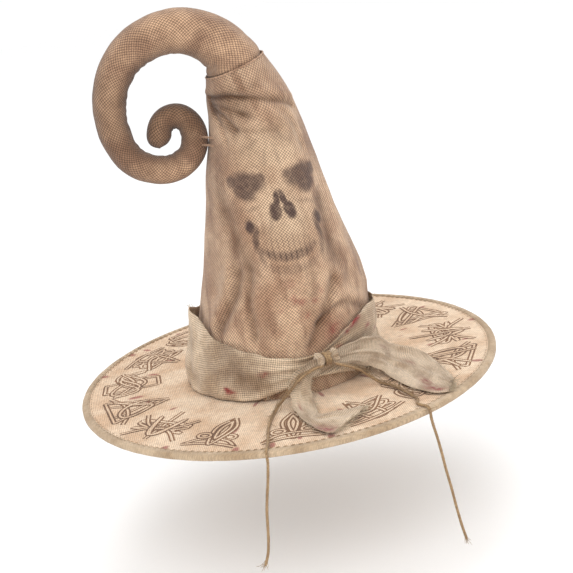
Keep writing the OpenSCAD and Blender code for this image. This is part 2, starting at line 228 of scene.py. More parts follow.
def smooth_path(points, spacing):
    """Points about spacing apart on a smooth curve through the given ones."""
    given = np.array([tuple(p) for p in points], float)
    far = np.concatenate([[0], np.cumsum(np.linalg.norm(np.diff(given, axis=0), axis=1))])
    count = max(2, int(round(far[-1] / spacing)))
    at = np.linspace(0, far[-1], count + 1)
    return np.stack([lookup(list(zip(far, given[:, k])), at) for k in range(3)], axis=1)


def wrapped(degrees):
    """Angles brought into -180 to 180."""
    return (np.asarray(degrees) + 180) % 360 - 180


# ---- Making pieces ----

def finish_mesh(name, mesh, finish, body="root"):
    """An object for a mesh in millimetres, brought to metres, that rides on a body."""
    mesh.transform(Matrix.Scale(MM, 4))
    mesh.materials.append(finish)
    mesh.polygons.foreach_set("use_smooth", [True] * len(mesh.polygons))
    piece = bpy.data.objects.new(name, mesh)
    bpy.context.scene.collection.objects.link(piece)
    if body:
        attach(piece, body)
    return piece


def cloth(name, across, along, place, finish, maps=None, closed=False, away_from=(0, 0, 0),
          inside=False, values=None, body="root"):
    """A grid of across by along cells whose points place() puts at (u, v), each from 0 to 1.
    maps gives each UV map in millimetres, values the numbers kept at each point, and closed
    joins the two long edges. Faces look away from a point, or towards it if inside."""
    bm = bmesh.new()
    bmesh.ops.create_grid(bm, x_segments=across, y_segments=along, size=0.5)
    mesh = bpy.data.meshes.new(name)
    bm.to_mesh(mesh)
    bm.free()
    corners = np.zeros(len(mesh.vertices) * 3)
    mesh.vertices.foreach_get("co", corners)
    u, v = (corners.reshape(-1, 3)[:, :2] + 0.5).T
    points = np.asarray(place(u, v), float)
    at = np.zeros(len(mesh.loops), int)
    mesh.loops.foreach_get("vertex_index", at)
    for key, flat in (maps or {}).items():
        layer = mesh.uv_layers.new(name=key)
        layer.data.foreach_set("uv", (np.stack(flat(u, v), axis=1)[at] * MM).ravel())
    for key, numbers in (values(u, v, points) if values else {}).items():
        mesh.attributes.new(key, "FLOAT", "POINT").data.foreach_set(
            "value", np.clip(numbers, 0, 1).astype(np.float32))
    mesh.vertices.foreach_set("co", points.ravel())
    bm = bmesh.new()
    bm.from_mesh(mesh)
    if closed:
        bmesh.ops.remove_doubles(bm, verts=bm.verts, dist=0.01)
    bm.normal_update()
    middle = Vector(away_from)
    facing = sum((f.calc_center_median() - middle).dot(f.normal) * f.calc_area()
                 for f in bm.faces)
    if (facing < 0) != inside:
        bmesh.ops.reverse_faces(bm, faces=bm.faces)
    bm.to_mesh(mesh)
    bm.free()
    return finish_mesh(name, mesh, finish, body)


def face_outwards(piece, merge=0.0):
    """Turns a closed piece's faces outwards, after joining points closer than merge metres."""
    bm = bmesh.new()
    bm.from_mesh(piece.data)
    if merge:
        bmesh.ops.remove_doubles(bm, verts=bm.verts, dist=merge)
    bmesh.ops.recalc_face_normals(bm, faces=bm.faces)
    bm.to_mesh(piece.data)
    bm.free()


def thicken(piece, thickness):
    """Gives a cloth its thickness in millimetres, behind its outer face."""
    wall = piece.modifiers.new("Thickness", "SOLIDIFY")
    wall.thickness = thickness * MM
    wall.offset = -1
    return piece


def threads(name, lines, radius, finish, closed=False, body="root"):
    """Thin round threads along lines of points in millimetres, as one mesh."""
    curve = bpy.data.curves.new(name, "CURVE")
    curve.dimensions = "3D"
    curve.bevel_depth = radius
    curve.bevel_resolution = 0
    curve.use_fill_caps = True
    for line in lines:
        spline = curve.splines.new("POLY")
        spline.points.add(len(line) - 1)
        spline.use_cyclic_u = closed
        for i, point in enumerate(line):
            spline.points[i].co = (*point, 1)
            spline.points[i].radius = 1 if closed or 0 < i < len(line) - 1 else 0.4
    holder = bpy.data.objects.new(name + "_line", curve)
    bpy.context.scene.collection.objects.link(holder)
    bpy.context.view_layer.update()
    mesh = bpy.data.meshes.new_from_object(
        holder.evaluated_get(bpy.context.evaluated_depsgraph_get()))
    bpy.data.objects.remove(holder)
    bpy.data.curves.remove(curve)
    mesh.name = name
    mesh.materials.clear()
    return finish_mesh(name, mesh, finish, body)


def frames_along(path):
    """Two directions square to a path, and to each other, at each point, that don't twist."""
    ahead = np.gradient(path, axis=0)
    ahead /= np.linalg.norm(ahead, axis=1)[:, None]
    side = np.cross(ahead[0], (0.31, 0.52, 0.8))
    sides = []
    for direction in ahead:
        side = side - (side @ direction) * direction
        side = side / np.linalg.norm(side)
        sides.append(side)
    sides = np.array(sides)
    return sides, np.cross(ahead, sides)


def twisted(name, path, radius, finish, strands=3, lay=9.0, body="root"):
    """A twisted twine along a path: round strands that wind about each other, a full turn
    every lay millimetres. Its ends close to a point."""
    path = np.asarray(path, float)
    far = np.concatenate([[0], np.cumsum(np.linalg.norm(np.diff(path, axis=0), axis=1))])
    side, up = frames_along(path)
    count = len(path) - 1

    def place(u, v):
        i = np.rint(v * count).astype(int)
        angle = 2 * math.pi * u
        lobe = np.abs(np.cos(strands / 2 * (angle + 2 * math.pi * far[i] / lay)))
        loose = 1 + 0.07 * ripple(path[i], 7.0, 3.0)
        end = np.sqrt(np.clip(np.minimum(far[i], far[-1] - far[i]) / radius, 0.0, 1))
        reach = radius * (0.80 + 0.26 * lobe) * loose * (0.02 + 0.98 * end)
        return path[i] + reach[:, None] * (np.cos(angle)[:, None] * side[i]
                                           + np.sin(angle)[:, None] * up[i])

    middle = path[count // 2]
    piece = cloth(name, 6 * strands, count, place, finish, closed=True, away_from=middle,
                  maps={"UVMap": lambda u, v: (u * 2 * math.pi * radius, v * far[-1])}, body=None)
    face_outwards(piece)
    if body:
        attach(piece, body)
    return piece


def wander(rng, start, heading, length, step, drift, floor=None):
    """A loose thread's line from a point: it drifts as it goes, and lies on a floor height."""
    point, heading = Vector(start), Vector(heading).normalized()
    line = [tuple(point)]
    for _ in range(max(3, int(length / step))):
        heading = heading + Vector([rng.uniform(-drift, drift) for _ in range(3)])
        heading.normalize()
        point = point + heading * step
        if floor is not None:
            point.z = max(point.z, floor)
        line.append(tuple(point))
    return line


# ---- Materials ----

RGBA = {"data_type": "RGBA", "output": 2}
SHADED = {"data_type": "RGBA", "output": 2, "blend_type": "MULTIPLY"}


def add(tree, kind, inputs, output=0, **settings):
    """Adds a node, sets it up, fills or links its inputs, and returns one of its outputs."""
    made = tree.nodes.new("ShaderNode" + kind)
    for key, value in settings.items():
        setattr(made, key, value)
    for key, value in inputs.items():
        if isinstance(value, bpy.types.NodeSocket):
            tree.links.new(value, made.inputs[key])
        else:
            made.inputs[key].default_value = value
    return made.outputs[output]


def start_material(name, roughness, sheen=0.0, specular=0.3):
    """A material with its shader, and the values that are the same all over."""
    made = bpy.data.materials.new(name)
    made.use_nodes = True
    shader = made.node_tree.nodes["Principled BSDF"]
    shader.inputs["Roughness"].default_value = roughness
    shader.inputs["Sheen Weight"].default_value = sheen
    shader.inputs["Specular IOR Level"].default_value = specular
    return made, made.node_tree, shader


def plain_weave(tree, flat, pitch, wobble):
    """Height of a plain weave over a flat vector in metres: 0 in its gaps, 1 on its threads'
    crowns. Warp and weft take turns on top, and the threads wander a little, as spun ones do."""
    drift = add(tree, "TexNoise", {"Vector": flat, "Scale": 0.1 / pitch, "Detail": 2.0}, output=1)
    drift = add(tree, "VectorMath", {0: drift, "Scale": wobble}, operation="SCALE")
    counted = add(tree, "VectorMath", {0: flat, "Scale": 1 / pitch}, operation="SCALE")
    counted = add(tree, "VectorMath", {0: counted, 1: drift}, operation="ADD")
    axes = add(tree, "SeparateXYZ", {0: counted}).node.outputs
    waves = []
    for axis in (0, 1):
        turns = add(tree, "Math", {0: axes[axis], 1: math.pi}, operation="MULTIPLY")
        waves.append(add(tree, "Math", {0: turns}, operation="SINE"))
    both = add(tree, "Math", {0: waves[0], 1: waves[1]}, operation="MULTIPLY")
    warp_up = add(tree, "Math", {0: both, 1: 1.6, 2: 0.5}, operation="MULTIPLY_ADD", use_clamp=True)
    weft_up = add(tree, "Math", {0: 1.0, 1: warp_up}, operation="SUBTRACT")
    crowns = []
    for wave, share in zip(waves, (warp_up, weft_up)):
        crown = add(tree, "Math", {0: wave}, operation="ABSOLUTE")
        crowns.append(add(tree, "Math", {0: crown, 1: share}, operation="MULTIPLY"))
    return add(tree, "Math", {0: crowns[0], 1: crowns[1]}, operation="MAXIMUM")


def clouds(tree, flat, across, low, high, detail=3.0):
    """Soft patches about so many metres across: 0 up to low of the noise, 1 from high."""
    patch = add(tree, "TexNoise", {"Vector": flat, "Scale": 1 / across, "Detail": detail})
    return add(tree, "MapRange", {"Value": patch, "From Min": low, "From Max": high},
               interpolation_type="SMOOTHSTEP")


def spatter(tree, flat, cell, radius, share):
    """Drops of dye of mixed sizes in a share of the cells of a loose grid."""
    near = add(tree, "TexVoronoi", {"Vector": flat, "Scale": 1 / cell},
               voronoi_dimensions="2D")
    chance = add(tree, "SeparateColor", {0: near.node.outputs[1]})
    wide = add(tree, "Math", {0: chance.node.outputs[1], 1: radius / cell}, operation="MULTIPLY")
    inner = add(tree, "Math", {0: wide, 1: 0.55}, operation="MULTIPLY")
    drop = add(tree, "MapRange", {"Value": near, "From Min": wide, "From Max": inner})
    chosen = add(tree, "Math", {0: chance, 1: share}, operation="LESS_THAN")
    return add(tree, "Math", {0: drop, 1: chosen}, operation="MULTIPLY")


def weave_shade_and_slub(tree, height, flat, dark, light):
    """Grey that paints shade into a weave's gaps and light onto its threads' crowns, with uneven
    threads.
    """
    gap = add(tree, "MapRange", {"Value": height, "From Min": 0.2, "From Max": 0.95,
                                 "To Min": dark, "To Max": light})
    slub = clouds(tree, flat, 4 * MM, 0.25, 0.75, detail=4.0)
    slub = add(tree, "MapRange", {"Value": slub, "To Min": 0.88, "To Max": 1.1})
    shade_and_slub = add(tree, "Math", {0: gap, 1: slub}, operation="MULTIPLY")
    return add(tree, "CombineColor", {0: shade_and_slub, 1: shade_and_slub, 2: shade_and_slub})


# The airbrushed skull, from the bridge of its nose, in millimetres, repeated on both sides:
# x, y, half width, half height, turn, softness, strength
SKULL_SPOTS = [
    (29, 16, 19, 11, 4, 0.42, 0.86),         # eye socket
    (33, 8, 12, 10, 12, 0.42, 0.86),         # its lower part
    (17, 19, 8.5, 6, -10, 0.45, 0.8),        # its inner corner
    (44, 18, 7, 7, 30, 0.45, 0.8),           # its outer corner
    (7.2, -14, 6.2, 9.6, 12, 0.3, 0.96),   # nostril
    (3.6, -3, 3.4, 9.5, 14, 0.36, 0.95),      # its narrow top
    (36, -27, 5.6, 7, 10, 0.5, 0.98),     # hollow under the cheekbone
    (33, -38, 3.4, 13, 14, 0.6, 0.85),      # its tail along the jaw
    (32, -54, 3.4, 13, -10, 0.8, 0.6),     # back edge of the jaw
    (48, -12, 10, 17, 12, 0.95, 0.35),      # shade beside the cheekbone
    (58, 34, 12, 28, 10, 0.95, 0.36),       # shade at the temple
    (18, 52, 16, 3.5, -22, 0.95, 0.25),     # furrow in the forehead
    (7, 36, 2.6, 11, 10, 0.9, 0.3),         # furrow between the brows
    (31, -10, 15, 2.6, -14, 0.9, 0.32),     # edge of the cheekbone
    (44, -66, 14, 18, 0, 0.95, 0.32),       # shade beside the chin
    (14, -26, 3, 9, 20, 0.9, 0.3),          # fold beside the nose
]


def soft_spot(tree, flat, spot):
    """1 inside a turned ellipse of the print, falling to 0 over its soft edge."""
    x, y, wide, high, turn, soft = spot
    inside = add(tree, "Mapping", {"Vector": flat, "Location": (x * MM, y * MM, 0),
                                   "Rotation": (0, 0, math.radians(turn)),
                                   "Scale": (wide * MM, high * MM, 1)}, vector_type="TEXTURE")
    reach = add(tree, "VectorMath", {0: inside}, output=1, operation="LENGTH")
    return add(tree, "MapRange", {"Value": reach, "From Min": 1 + soft, "From Max": 1 - soft},
               interpolation_type="SMOOTHSTEP")


def skull_print(tree, panel):
    """How dark and how pale the airbrushed skull is over the cone's printed panel."""
    face = add(tree, "Mapping", {"Vector": panel, "Location": (1.5 * MM, 201 * MM, 0),
                                 "Rotation": (0, 0, math.radians(1)), "Scale": (1, 1, 1)},
               vector_type="TEXTURE")
    blur = add(tree, "TexNoise", {"Vector": face, "Scale": 170.0, "Detail": 3.0}, output=1)
    blur = add(tree, "VectorMath", {0: blur, 1: (0.5, 0.5, 0.5)}, operation="SUBTRACT")
    blur = add(tree, "VectorMath", {0: blur, "Scale": 3.4 * MM}, operation="SCALE")
    face = add(tree, "VectorMath", {0: face, 1: blur}, operation="ADD")
    dark = 0.0
    for x, y, wide, high, turn, soft, strength in SKULL_SPOTS:
        for side in (-1, 1):
            mask = soft_spot(tree, face, (side * x, y, wide, high, side * turn, soft))
            mask = add(tree, "Math", {0: mask, 1: strength}, operation="MULTIPLY")
            dark = add(tree, "Math", {0: dark, 1: mask, 2: 0.15}, operation="SMOOTH_MAX")
    # The grin: dark crescents between two ellipses, crossed by the gaps between the teeth
    across = add(tree, "SeparateXYZ", {0: face})
    turns = add(tree, "Math", {0: across, 1: math.pi / (5.4 * MM)}, operation="MULTIPLY")
    wave = add(tree, "Math", {0: turns}, operation="COSINE")
    wave = add(tree, "Math", {0: wave}, operation="ABSOLUTE")
    gaps = add(tree, "MapRange", {"Value": wave, "From Min": 0.5, "From Max": 0.1})
    for drop, strength in ((0.0, 0.92), (-13.0, 0.5)):
        lower = soft_spot(tree, face, (-4, -46 + drop, 31, 17, 0, 0.14))
        upper = soft_spot(tree, face, (-4, -37 + drop, 36, 16, 0, 0.2))
        lips = add(tree, "Math", {0: lower, 1: upper}, operation="SUBTRACT", use_clamp=True)
        teeth = add(tree, "MapRange", {"Value": gaps, "To Min": 0.6, "To Max": 1.0})
        lips = add(tree, "Math", {0: lips, 1: teeth}, operation="MULTIPLY")
        lips = add(tree, "Math", {0: lips, 1: strength}, operation="MULTIPLY")
        dark = add(tree, "Math", {0: dark, 1: lips}, operation="MAXIMUM")
    gums = soft_spot(tree, face, (-4, -49, 27, 13, 0, 0.35))
    gums = add(tree, "Math", {0: gums, 1: gaps}, operation="MULTIPLY")
    gums = add(tree, "Math", {0: gums, 1: 0.5}, operation="MULTIPLY")
    dark = add(tree, "Math", {0: dark, 1: gums}, operation="MAXIMUM")
    patchy = clouds(tree, face, 7 * MM, 0.2, 0.6, detail=4.0)
    patchy = add(tree, "MapRange", {"Value": patchy, "To Min": 0.72, "To Max": 1.0})
    dark = add(tree, "Math", {0: dark, 1: patchy}, operation="MULTIPLY")
    brow = soft_spot(tree, face, (0, 46, 36, 22, 0, 0.8))
    cheeks = soft_spot(tree, face, (0, -22, 26, 36, 0, 0.8))
    pale = add(tree, "Math", {0: brow, 1: cheeks}, operation="MAXIMUM")
    return dark, add(tree, "Math", {0: pale, 1: 0.5}, operation="MULTIPLY")


def sackcloth(name, light, dark, pitch, coordinates="UVMap", depth=0.55, gaps=0.4, skull=False,
              drops=0.0):
    """Polyester sackcloth, plain-woven of thick slubby threads and printed by airbrush. The
    threads catch painted light, the gaps between them carry painted shade, and the dye lies in soft
    brown clouds. The attribute shade paints shade, with airbrush, into its folds, and red carries
    the red stains."""
    made, tree, shader = start_material(name, 0.85, sheen=0.2, specular=0.25)
    if coordinates == "Object":
        flat = add(tree, "TexCoord", {}, output=3)
    else:
        flat = add(tree, "UVMap", {}, uv_map=coordinates)
    height = plain_weave(tree, flat, pitch, 0.9)
    broad = clouds(tree, flat, 42 * MM, 0.38, 0.66, detail=5.0)
    small = clouds(tree, flat, 11 * MM, 0.4, 0.75, detail=4.0)
    small = add(tree, "Math", {0: small, 1: 0.4}, operation="MULTIPLY")
    base = add(tree, "Mix", {0: broad, 6: dye(light), 7: dye(dark)}, **RGBA)
    base = add(tree, "Mix", {0: small, 6: base, 7: dye(dark)}, **RGBA)
    if skull:
        panel = add(tree, "UVMap", {}, uv_map="panel")
        long = add(tree, "Mapping", {"Vector": panel, "Scale": (1.0, 0.28, 1.0)})
        streak = clouds(tree, long, 13 * MM, 0.46, 0.72, detail=4.0)
        streak = add(tree, "Math", {0: streak, 1: 0.75}, operation="MULTIPLY")
        base = add(tree, "Mix", {0: streak, 6: base, 7: dye("cone_streak")}, **RGBA)
        ink, pale = skull_print(tree, panel)
        base = add(tree, "Mix", {0: pale, 6: base, 7: dye("skull_pale")}, **RGBA)
        base = add(tree, "Mix", {0: ink, 6: base, 7: dye("skull_dark")}, **RGBA)
    # Painted shade, partly the print's airbrush, from the shade attribute: folds, hollows and edges
    shade = add(tree, "Attribute", {}, output=2, attribute_name="shade")
    base = add(tree, "Mix", {0: shade, 6: base, 7: dye("shadow_dye")}, **RGBA)
    red = add(tree, "Attribute", {}, output=2, attribute_name="red")
    if drops:
        wet = spatter(tree, add(tree, "UVMap", {}, uv_map="UVMap"), 22 * MM, 4.4 * MM, drops)
        red = add(tree, "Math", {0: red, 1: wet}, operation="MAXIMUM")
    red = add(tree, "Math", {0: red, 1: 0.75}, operation="MULTIPLY")
    base = add(tree, "Mix", {0: red, 6: base, 7: dye("red_stain")}, **RGBA)
    # Painted shade in the weave's gaps and painted light on its threads' crowns
    shade_and_slub = weave_shade_and_slub(tree, height, flat, gaps, 1.24)
    base = add(tree, "Mix", {0: 1.0, 6: base, 7: shade_and_slub}, **SHADED)
    tree.links.new(base, shader.inputs["Base Color"])
    relief = add(tree, "Bump", {"Height": height, "Distance": depth * MM})
    tree.links.new(relief, shader.inputs["Normal"])
    return made


def gauze(name):
    """Linen gauze: thin spun threads in an open plain weave that lets a little of what lies
    behind show in its gaps. It is limp and matt, and grey-brown dye sits in it in patches."""
    made, tree, shader = start_material(name, 0.9, sheen=0.25, specular=0.2)
    flat = add(tree, "UVMap", {}, uv_map="UVMap")
    height = plain_weave(tree, flat, size("gauze_pitch"), 1.3)
    broad = clouds(tree, flat, 34 * MM, 0.36, 0.66, detail=5.0)
    base = add(tree, "Mix", {0: broad, 6: dye("gauze_light"), 7: dye("gauze_dark")}, **RGBA)
    # The shade attribute paints shade into the band's folds and the tails near the knot, and
    # darkens the knot unevenly
    shade = add(tree, "Attribute", {}, output=2, attribute_name="shade")
    base = add(tree, "Mix", {0: shade, 6: base, 7: dye("shadow_dye")}, **RGBA)
    red = add(tree, "Attribute", {}, output=2, attribute_name="red")
    base = add(tree, "Mix", {0: red, 6: base, 7: dye("red_stain")}, **RGBA)
    # Painted shade in the weave's gaps and painted light on its threads' crowns
    shade_and_slub = weave_shade_and_slub(tree, height, flat, 0.6, 1.2)
    base = add(tree, "Mix", {0: 1.0, 6: base, 7: shade_and_slub}, **SHADED)
    tree.links.new(base, shader.inputs["Base Color"])
    cover = add(tree, "MapRange", {"Value": height, "From Min": 0.12, "From Max": 0.4,
                                   "To Min": 0.6, "To Max": 1.0})
    tree.links.new(cover, shader.inputs["Alpha"])
    relief = add(tree, "Bump", {"Height": height, "Distance": 0.4 * MM})
    tree.links.new(relief, shader.inputs["Normal"])
    return made


def plain_cloth(name, light, dark, pitch, roughness=0.85):
    """Plain cotton cloth or tape, woven tight: an even fine grain with faint patches."""
    made, tree, shader = start_material(name, roughness, sheen=0.2)
    flat = add(tree, "TexCoord", {}, output=3)
    height = plain_weave(tree, flat, pitch * MM, 0.6)
    broad = clouds(tree, flat, 25 * MM, 0.3, 0.7)
    base = add(tree, "Mix", {0: broad, 6: linear(light), 7: linear(dark)}, **RGBA)
    # Painted shade in the weave's gaps and painted light on its threads' crowns
    shade_and_slub = weave_shade_and_slub(tree, height, flat, 0.8, 1.08)
    base = add(tree, "Mix", {0: 1.0, 6: base, 7: shade_and_slub}, **SHADED)
    tree.links.new(base, shader.inputs["Base Color"])
    relief = add(tree, "Bump", {"Height": height, "Distance": 0.25 * MM})
    tree.links.new(relief, shader.inputs["Normal"])
    return made


def spun_fibre(name, light, dark, roughness=0.75):
    """Spun fibre, such as jute or thread: streaks of paler and darker strands, a little glossy."""
    made, tree, shader = start_material(name, roughness, sheen=0.15)
    flat = add(tree, "TexCoord", {}, output=3)
    streak = clouds(tree, flat, 1.3 * MM, 0.3, 0.7, detail=5.0)
    broad = clouds(tree, flat, 14 * MM, 0.35, 0.7)
    broad = add(tree, "Math", {0: broad, 1: 0.5}, operation="MULTIPLY")
    base = add(tree, "Mix", {0: streak, 6: linear(light), 7: linear(dark)}, **RGBA)
    base = add(tree, "Mix", {0: broad, 6: base, 7: linear(dark)}, **RGBA)
    tree.links.new(base, shader.inputs["Base Color"])
    relief = add(tree, "Bump", {"Height": streak, "Distance": 0.2 * MM})
    tree.links.new(relief, shader.inputs["Normal"])
    return made


def filling_foam(name):
    """Polyether foam sheet: pale, matt, with open cells."""
    made, tree, shader = start_material(name, 0.95)
    cells = clouds(tree, add(tree, "TexCoord", {}, output=3), 1.5 * MM, 0.35, 0.65)
    base = add(tree, "Mix", {0: cells, 6: linear("#E9E2D3"), 7: linear("#C9BFAC")}, **RGBA)
    tree.links.new(base, shader.inputs["Base Color"])
    relief = add(tree, "Bump", {"Height": cells, "Distance": 0.3 * MM})
    tree.links.new(relief, shader.inputs["Normal"])
    return made


def galvanised_wire(name):
    """Drawn, galvanised steel wire: bright, with dull spangled patches of zinc."""
    made, tree, shader = start_material(name, 0.38, specular=0.5)
    shader.inputs["Metallic"].default_value = 1.0
    patch = clouds(tree, add(tree, "TexCoord", {}, output=3), 4 * MM, 0.4, 0.6)
    base = add(tree, "Mix", {0: patch, 6: linear("#B9BDBF"), 7: linear("#8F9497")}, **RGBA)
    tree.links.new(base, shader.inputs["Base Color"])
    return made


FINISHES = {
    "cone_sackcloth": lambda n: sackcloth(n, "cone_light", "cone_dark", size("cone_pitch"),
                                          skull=True),
    "curl_sackcloth": lambda n: sackcloth(n, "curl_light", "curl_dark", size("cone_pitch")),
    "brim_sackcloth": lambda n: sackcloth(n, "brim_light", "brim_dark", size("brim_pitch"),
                                          coordinates="Object", depth=0.35, gaps=0.68,
                                          drops=0.6),
    "brim_ink": lambda n: sackcloth(n, "ink_light", "ink_dark", size("brim_pitch"),
                                    coordinates="Object", depth=0.35, gaps=0.6),
    "gauze": gauze,
    "lining": lambda n: plain_cloth(n, "#9C8468", "#84694F", 1.6),
    "underside_cloth": lambda n: plain_cloth(n, "#B39A7D", "#9C8266", 1.8),
    "binding_tape": lambda n: plain_cloth(n, "#C3AB8E", "#A88E70", 1.5),
    "grosgrain": lambda n: plain_cloth(n, "#57453A", "#3F3129", 1.8, 0.6),
    "seam_cloth": lambda n: plain_cloth(n, "#B8957A", "#94725A", 2.2),
    "thread": lambda n: spun_fibre(n, "#B99F7E", "#8E7455", 0.6),
    "dark_thread": lambda n: spun_fibre(n, "#6E5540", "#4D3A2B", 0.6),
    "jute": lambda n: spun_fibre(n, "#B39670", "#7B6044"),
    "brim_thread": lambda n: spun_fibre(n, "#B08F6C", "#92724F", 0.6),
    "linen_thread": lambda n: spun_fibre(n, "#D2C3AA", "#AE9A7E"),
    "foam": filling_foam,
    "wire": galvanised_wire,
}


def material(name):
    """A finish by name, made the first time that it is asked for."""
    return bpy.data.materials.get("hat_" + name) or FINISHES[name]("hat_" + name)


def refinish(node, name):
    """Gives a CAD node that stays in sight a better material."""
    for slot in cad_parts[node].material_slots:
        slot.material = material(name)


# ---- Shapes of the hat ----

def round_cone(direction, z):
    """Distance along the cloth from the print's middle, at a direction and height."""
    return np.radians(wrapped(np.asarray(direction) - FACE_DIRECTION)) * lookup(CONE_RADIUS, z)


def cone_relief(direction, z):
    """How far the cone's cloth stands out or in at a direction and height."""
    s = round_cone(direction, z)
    relief = np.zeros(np.shape(s))
    for line, width, depth in CONE_FOLDS:
        relief += depth * near_line(s, z, line, width)
    angle = np.radians(direction)
    at = np.stack([60 * np.cos(angle), 60 * np.sin(angle), z * 0.6], axis=1)
    relief = relief * size("fold_share") + 1.5 * ripple(at, 34) + 0.6 * ripple(at, 13, 5.0)
    relief = np.maximum(relief, -0.1 - 9 * ease(28, 50, z))     # clear of the sweatband
    return relief * ease(-2, 26, z) * ease(0, 16, SEAM_HEIGHT + 1 - z)


def cone_point(direction, z, out=0.0, relief=True):
    """A point on the cone's cloth, moved outwards."""
    r = lookup(CONE_RADIUS, z) + out
    if relief:
        r = r + cone_relief(direction, z)
    angle, tilt = np.radians(direction), np.radians(lookup(CONE_TILT, z))
    return np.stack([lookup(CONE_LEAN, z) + r * np.cos(angle) * np.cos(tilt), r * np.sin(angle),
                     z + r * np.cos(angle) * np.sin(tilt)], axis=1)


def brim_height(x, y):
    """Height of the brim's cloth: nearly flat, puckered a little round the cone and the edge."""
    radius, angle = np.hypot(x, y), np.arctan2(y, x)
    at = np.stack([x, y, 0 * x], axis=1)
    pucker = np.sin(64 * angle + 2 * ripple(at, 30)) * (1 - ease(0, 10, radius - HOLE_RADIUS))
    edge = 0.1 * np.sin(95 * angle) * ease(200, 210, radius)
    return BRIM_TOP + 0.25 * ripple(at, 26) + 0.1 * ripple(at, 9) + 0.25 * pucker + edge


def stains(x, y, spots):
    """Strength of red stains: spots are (x, y, radius, strength), broken up by noise."""
    at = np.stack([x, y, 0 * x], axis=1)
    rough = 0.75 + 1.0 * ripple(at, 5.0) + 0.6 * ripple(at, 2.2)
    total = np.zeros(np.shape(x))
    for cx, cy, radius, strength in spots:
        total += strength * np.exp(-((x - cx) ** 2 + (y - cy) ** 2) / radius ** 2)
    return np.clip(total * np.clip(rough, 0, 1.4), 0, 1)


def curl_path():
    """Stations down the curl: x, z, heading in radians and length so far."""
    x, z = CURL_START
    heading, length, stations = math.radians(CURL_HEADING), 0.0, []
    for turned, radius in CURL_ARCS:
        steps = max(2, int(math.radians(turned) * radius / 1.2))
        step = math.radians(turned) / steps
        for _ in range(steps):
            stations.append((x, z, heading, length))
            x += 2 * radius * math.sin(step / 2) * math.cos(heading + step / 2)
            z += 2 * radius * math.sin(step / 2) * math.sin(heading + step / 2)
            heading += step
            length += step * radius
    stations.append((x, z, heading, length))
    return np.array(stations)


def gauze_rows(rows, u, v):
    """A point on a loose gauze tail: v runs down its rows, u across from its inner edge."""
    middles = np.array([(np.array(a) + np.array(b)) / 2 for a, b in rows])
    far = np.concatenate([[0], np.cumsum(np.linalg.norm(np.diff(middles, axis=0), axis=1))])
    edges = [np.stack([lookup(list(zip(far / far[-1], [r[side][k] for r in rows])), v)
                       for k in range(3)], axis=1) for side in (0, 1)]
    return edges[0] + (edges[1] - edges[0]) * u[:, None]


# Generic interlaced motifs printed round the brim, each in its own small frame in millimetres:
# x along the edge, y towards the cone. A stroke is (points, closed, curved)

def loops(across, along, wide, high, shift, lean=0.0):
    """A closed interlaced line that crosses its width and height so many times."""
    turns = np.linspace(0, 2 * math.pi, 49)[:-1]
    y = high * np.sin(along * turns)
    x = wide * np.sin(across * turns + shift) * (1 - lean * y / high)
    return [(float(a), float(b)) for a, b in zip(x, y)]


def circle_line(x, y, radius):
    """A closed round line."""
    turns = np.linspace(0, 2 * math.pi, 17)[:-1]
    return [(x + radius * math.cos(t), y + radius * math.sin(t)) for t in turns]


MOTIFS = [
    [([(0, 31), (7, 14), (5, -6), (0, -22), (-5, -6), (-7, 14)], True, True),
     ([(0, 24), (3, 12), (0, -10), (-3, 12)], True, True),
     (circle_line(10, -6, 4.6), True, True), (circle_line(-10, -6, 4.6), True, True),
     ([(-21, -24), (-12, -14), (0, -11), (12, -14), (21, -24)], False, True),
     ([(-21, -24), (0, -20), (21, -24)], False, True)],
    [([(0, 30), (20, -22), (-20, -22)], True, False),
     (loops(2, 3, 13, 15, 0.5, 0.45), True, True),
     ([(-4, 22), (12, -24)], False, False), ([(4, 22), (-12, -24)], False, False),
     ([(-26, -16), (-10, -8), (10, -8), (26, -16)], False, True)],
    [(loops(3, 2, 19, 12, 0.0), True, True),
     ([(0, 28), (5, 8), (3, -22), (-3, -22), (-5, 8)], True, True),
     ([(-24, -16), (-8, -20), (8, -20), (24, -16)], False, True),
     ([(-22, 12), (0, -6), (22, 12)], False, True)],
    [([(-24, 18), (-12, 0), (10, -8), (24, -24)], False, True),
     ([(24, 18), (12, 0), (-10, -8), (-24, -24)], False, True),
     (loops(1, 2, 11, 18, 0.7), True, True), (circle_line(0, 0, 7), True, True),
     ([(0, 32), (0, -26)], False, False), (loops(3, 2, 22, 9, 0.4), True, True)],
    [([(-8, 30), (10, 26), (2, -24), (-16, -22)], True, False),
     (loops(3, 4, 17, 15, 0.4, 0.3), True, True),
     ([(-24, -8), (0, 4), (24, -12)], False, True), (loops(1, 3, 24, 11, 0.9), True, True)],
]


def motif_strokes():
    """Every motif's strokes, placed round the brim between the cone and the binding."""
    rng = random.Random(11)
    placed = []
    count = 15
    wide = 1.24
    for k in range(count):
        direction = 360 * k / count - 99
        turn = math.radians(direction + 90 + rng.uniform(-16, 16))
        share = rng.uniform(1.1, 1.2)
        flip = rng.choice((-1, 1))
        middle = rim(direction, 170.5 + rng.uniform(-3, 2), 0)
        for points, closed, curved in MOTIFS[(k * 2 + k // 5) % len(MOTIFS)]:
            line = [(middle.x - flip * wide * share * x * math.sin(turn - math.pi / 2)
                     - share * y * math.cos(turn - math.pi / 2),
                     middle.y + flip * wide * share * x * math.cos(turn - math.pi / 2)
                     - share * y * math.sin(turn - math.pi / 2), 0) for x, y in points]
            if closed:
                line = line + [line[0]]
            if curved:
                line = smooth_path(line, 1.6)
            else:
                line = np.concatenate([smooth_path(pair, 2.0)
                                       for pair in zip(line, line[1:])])
            placed.append(line[:, :2])
    return placed


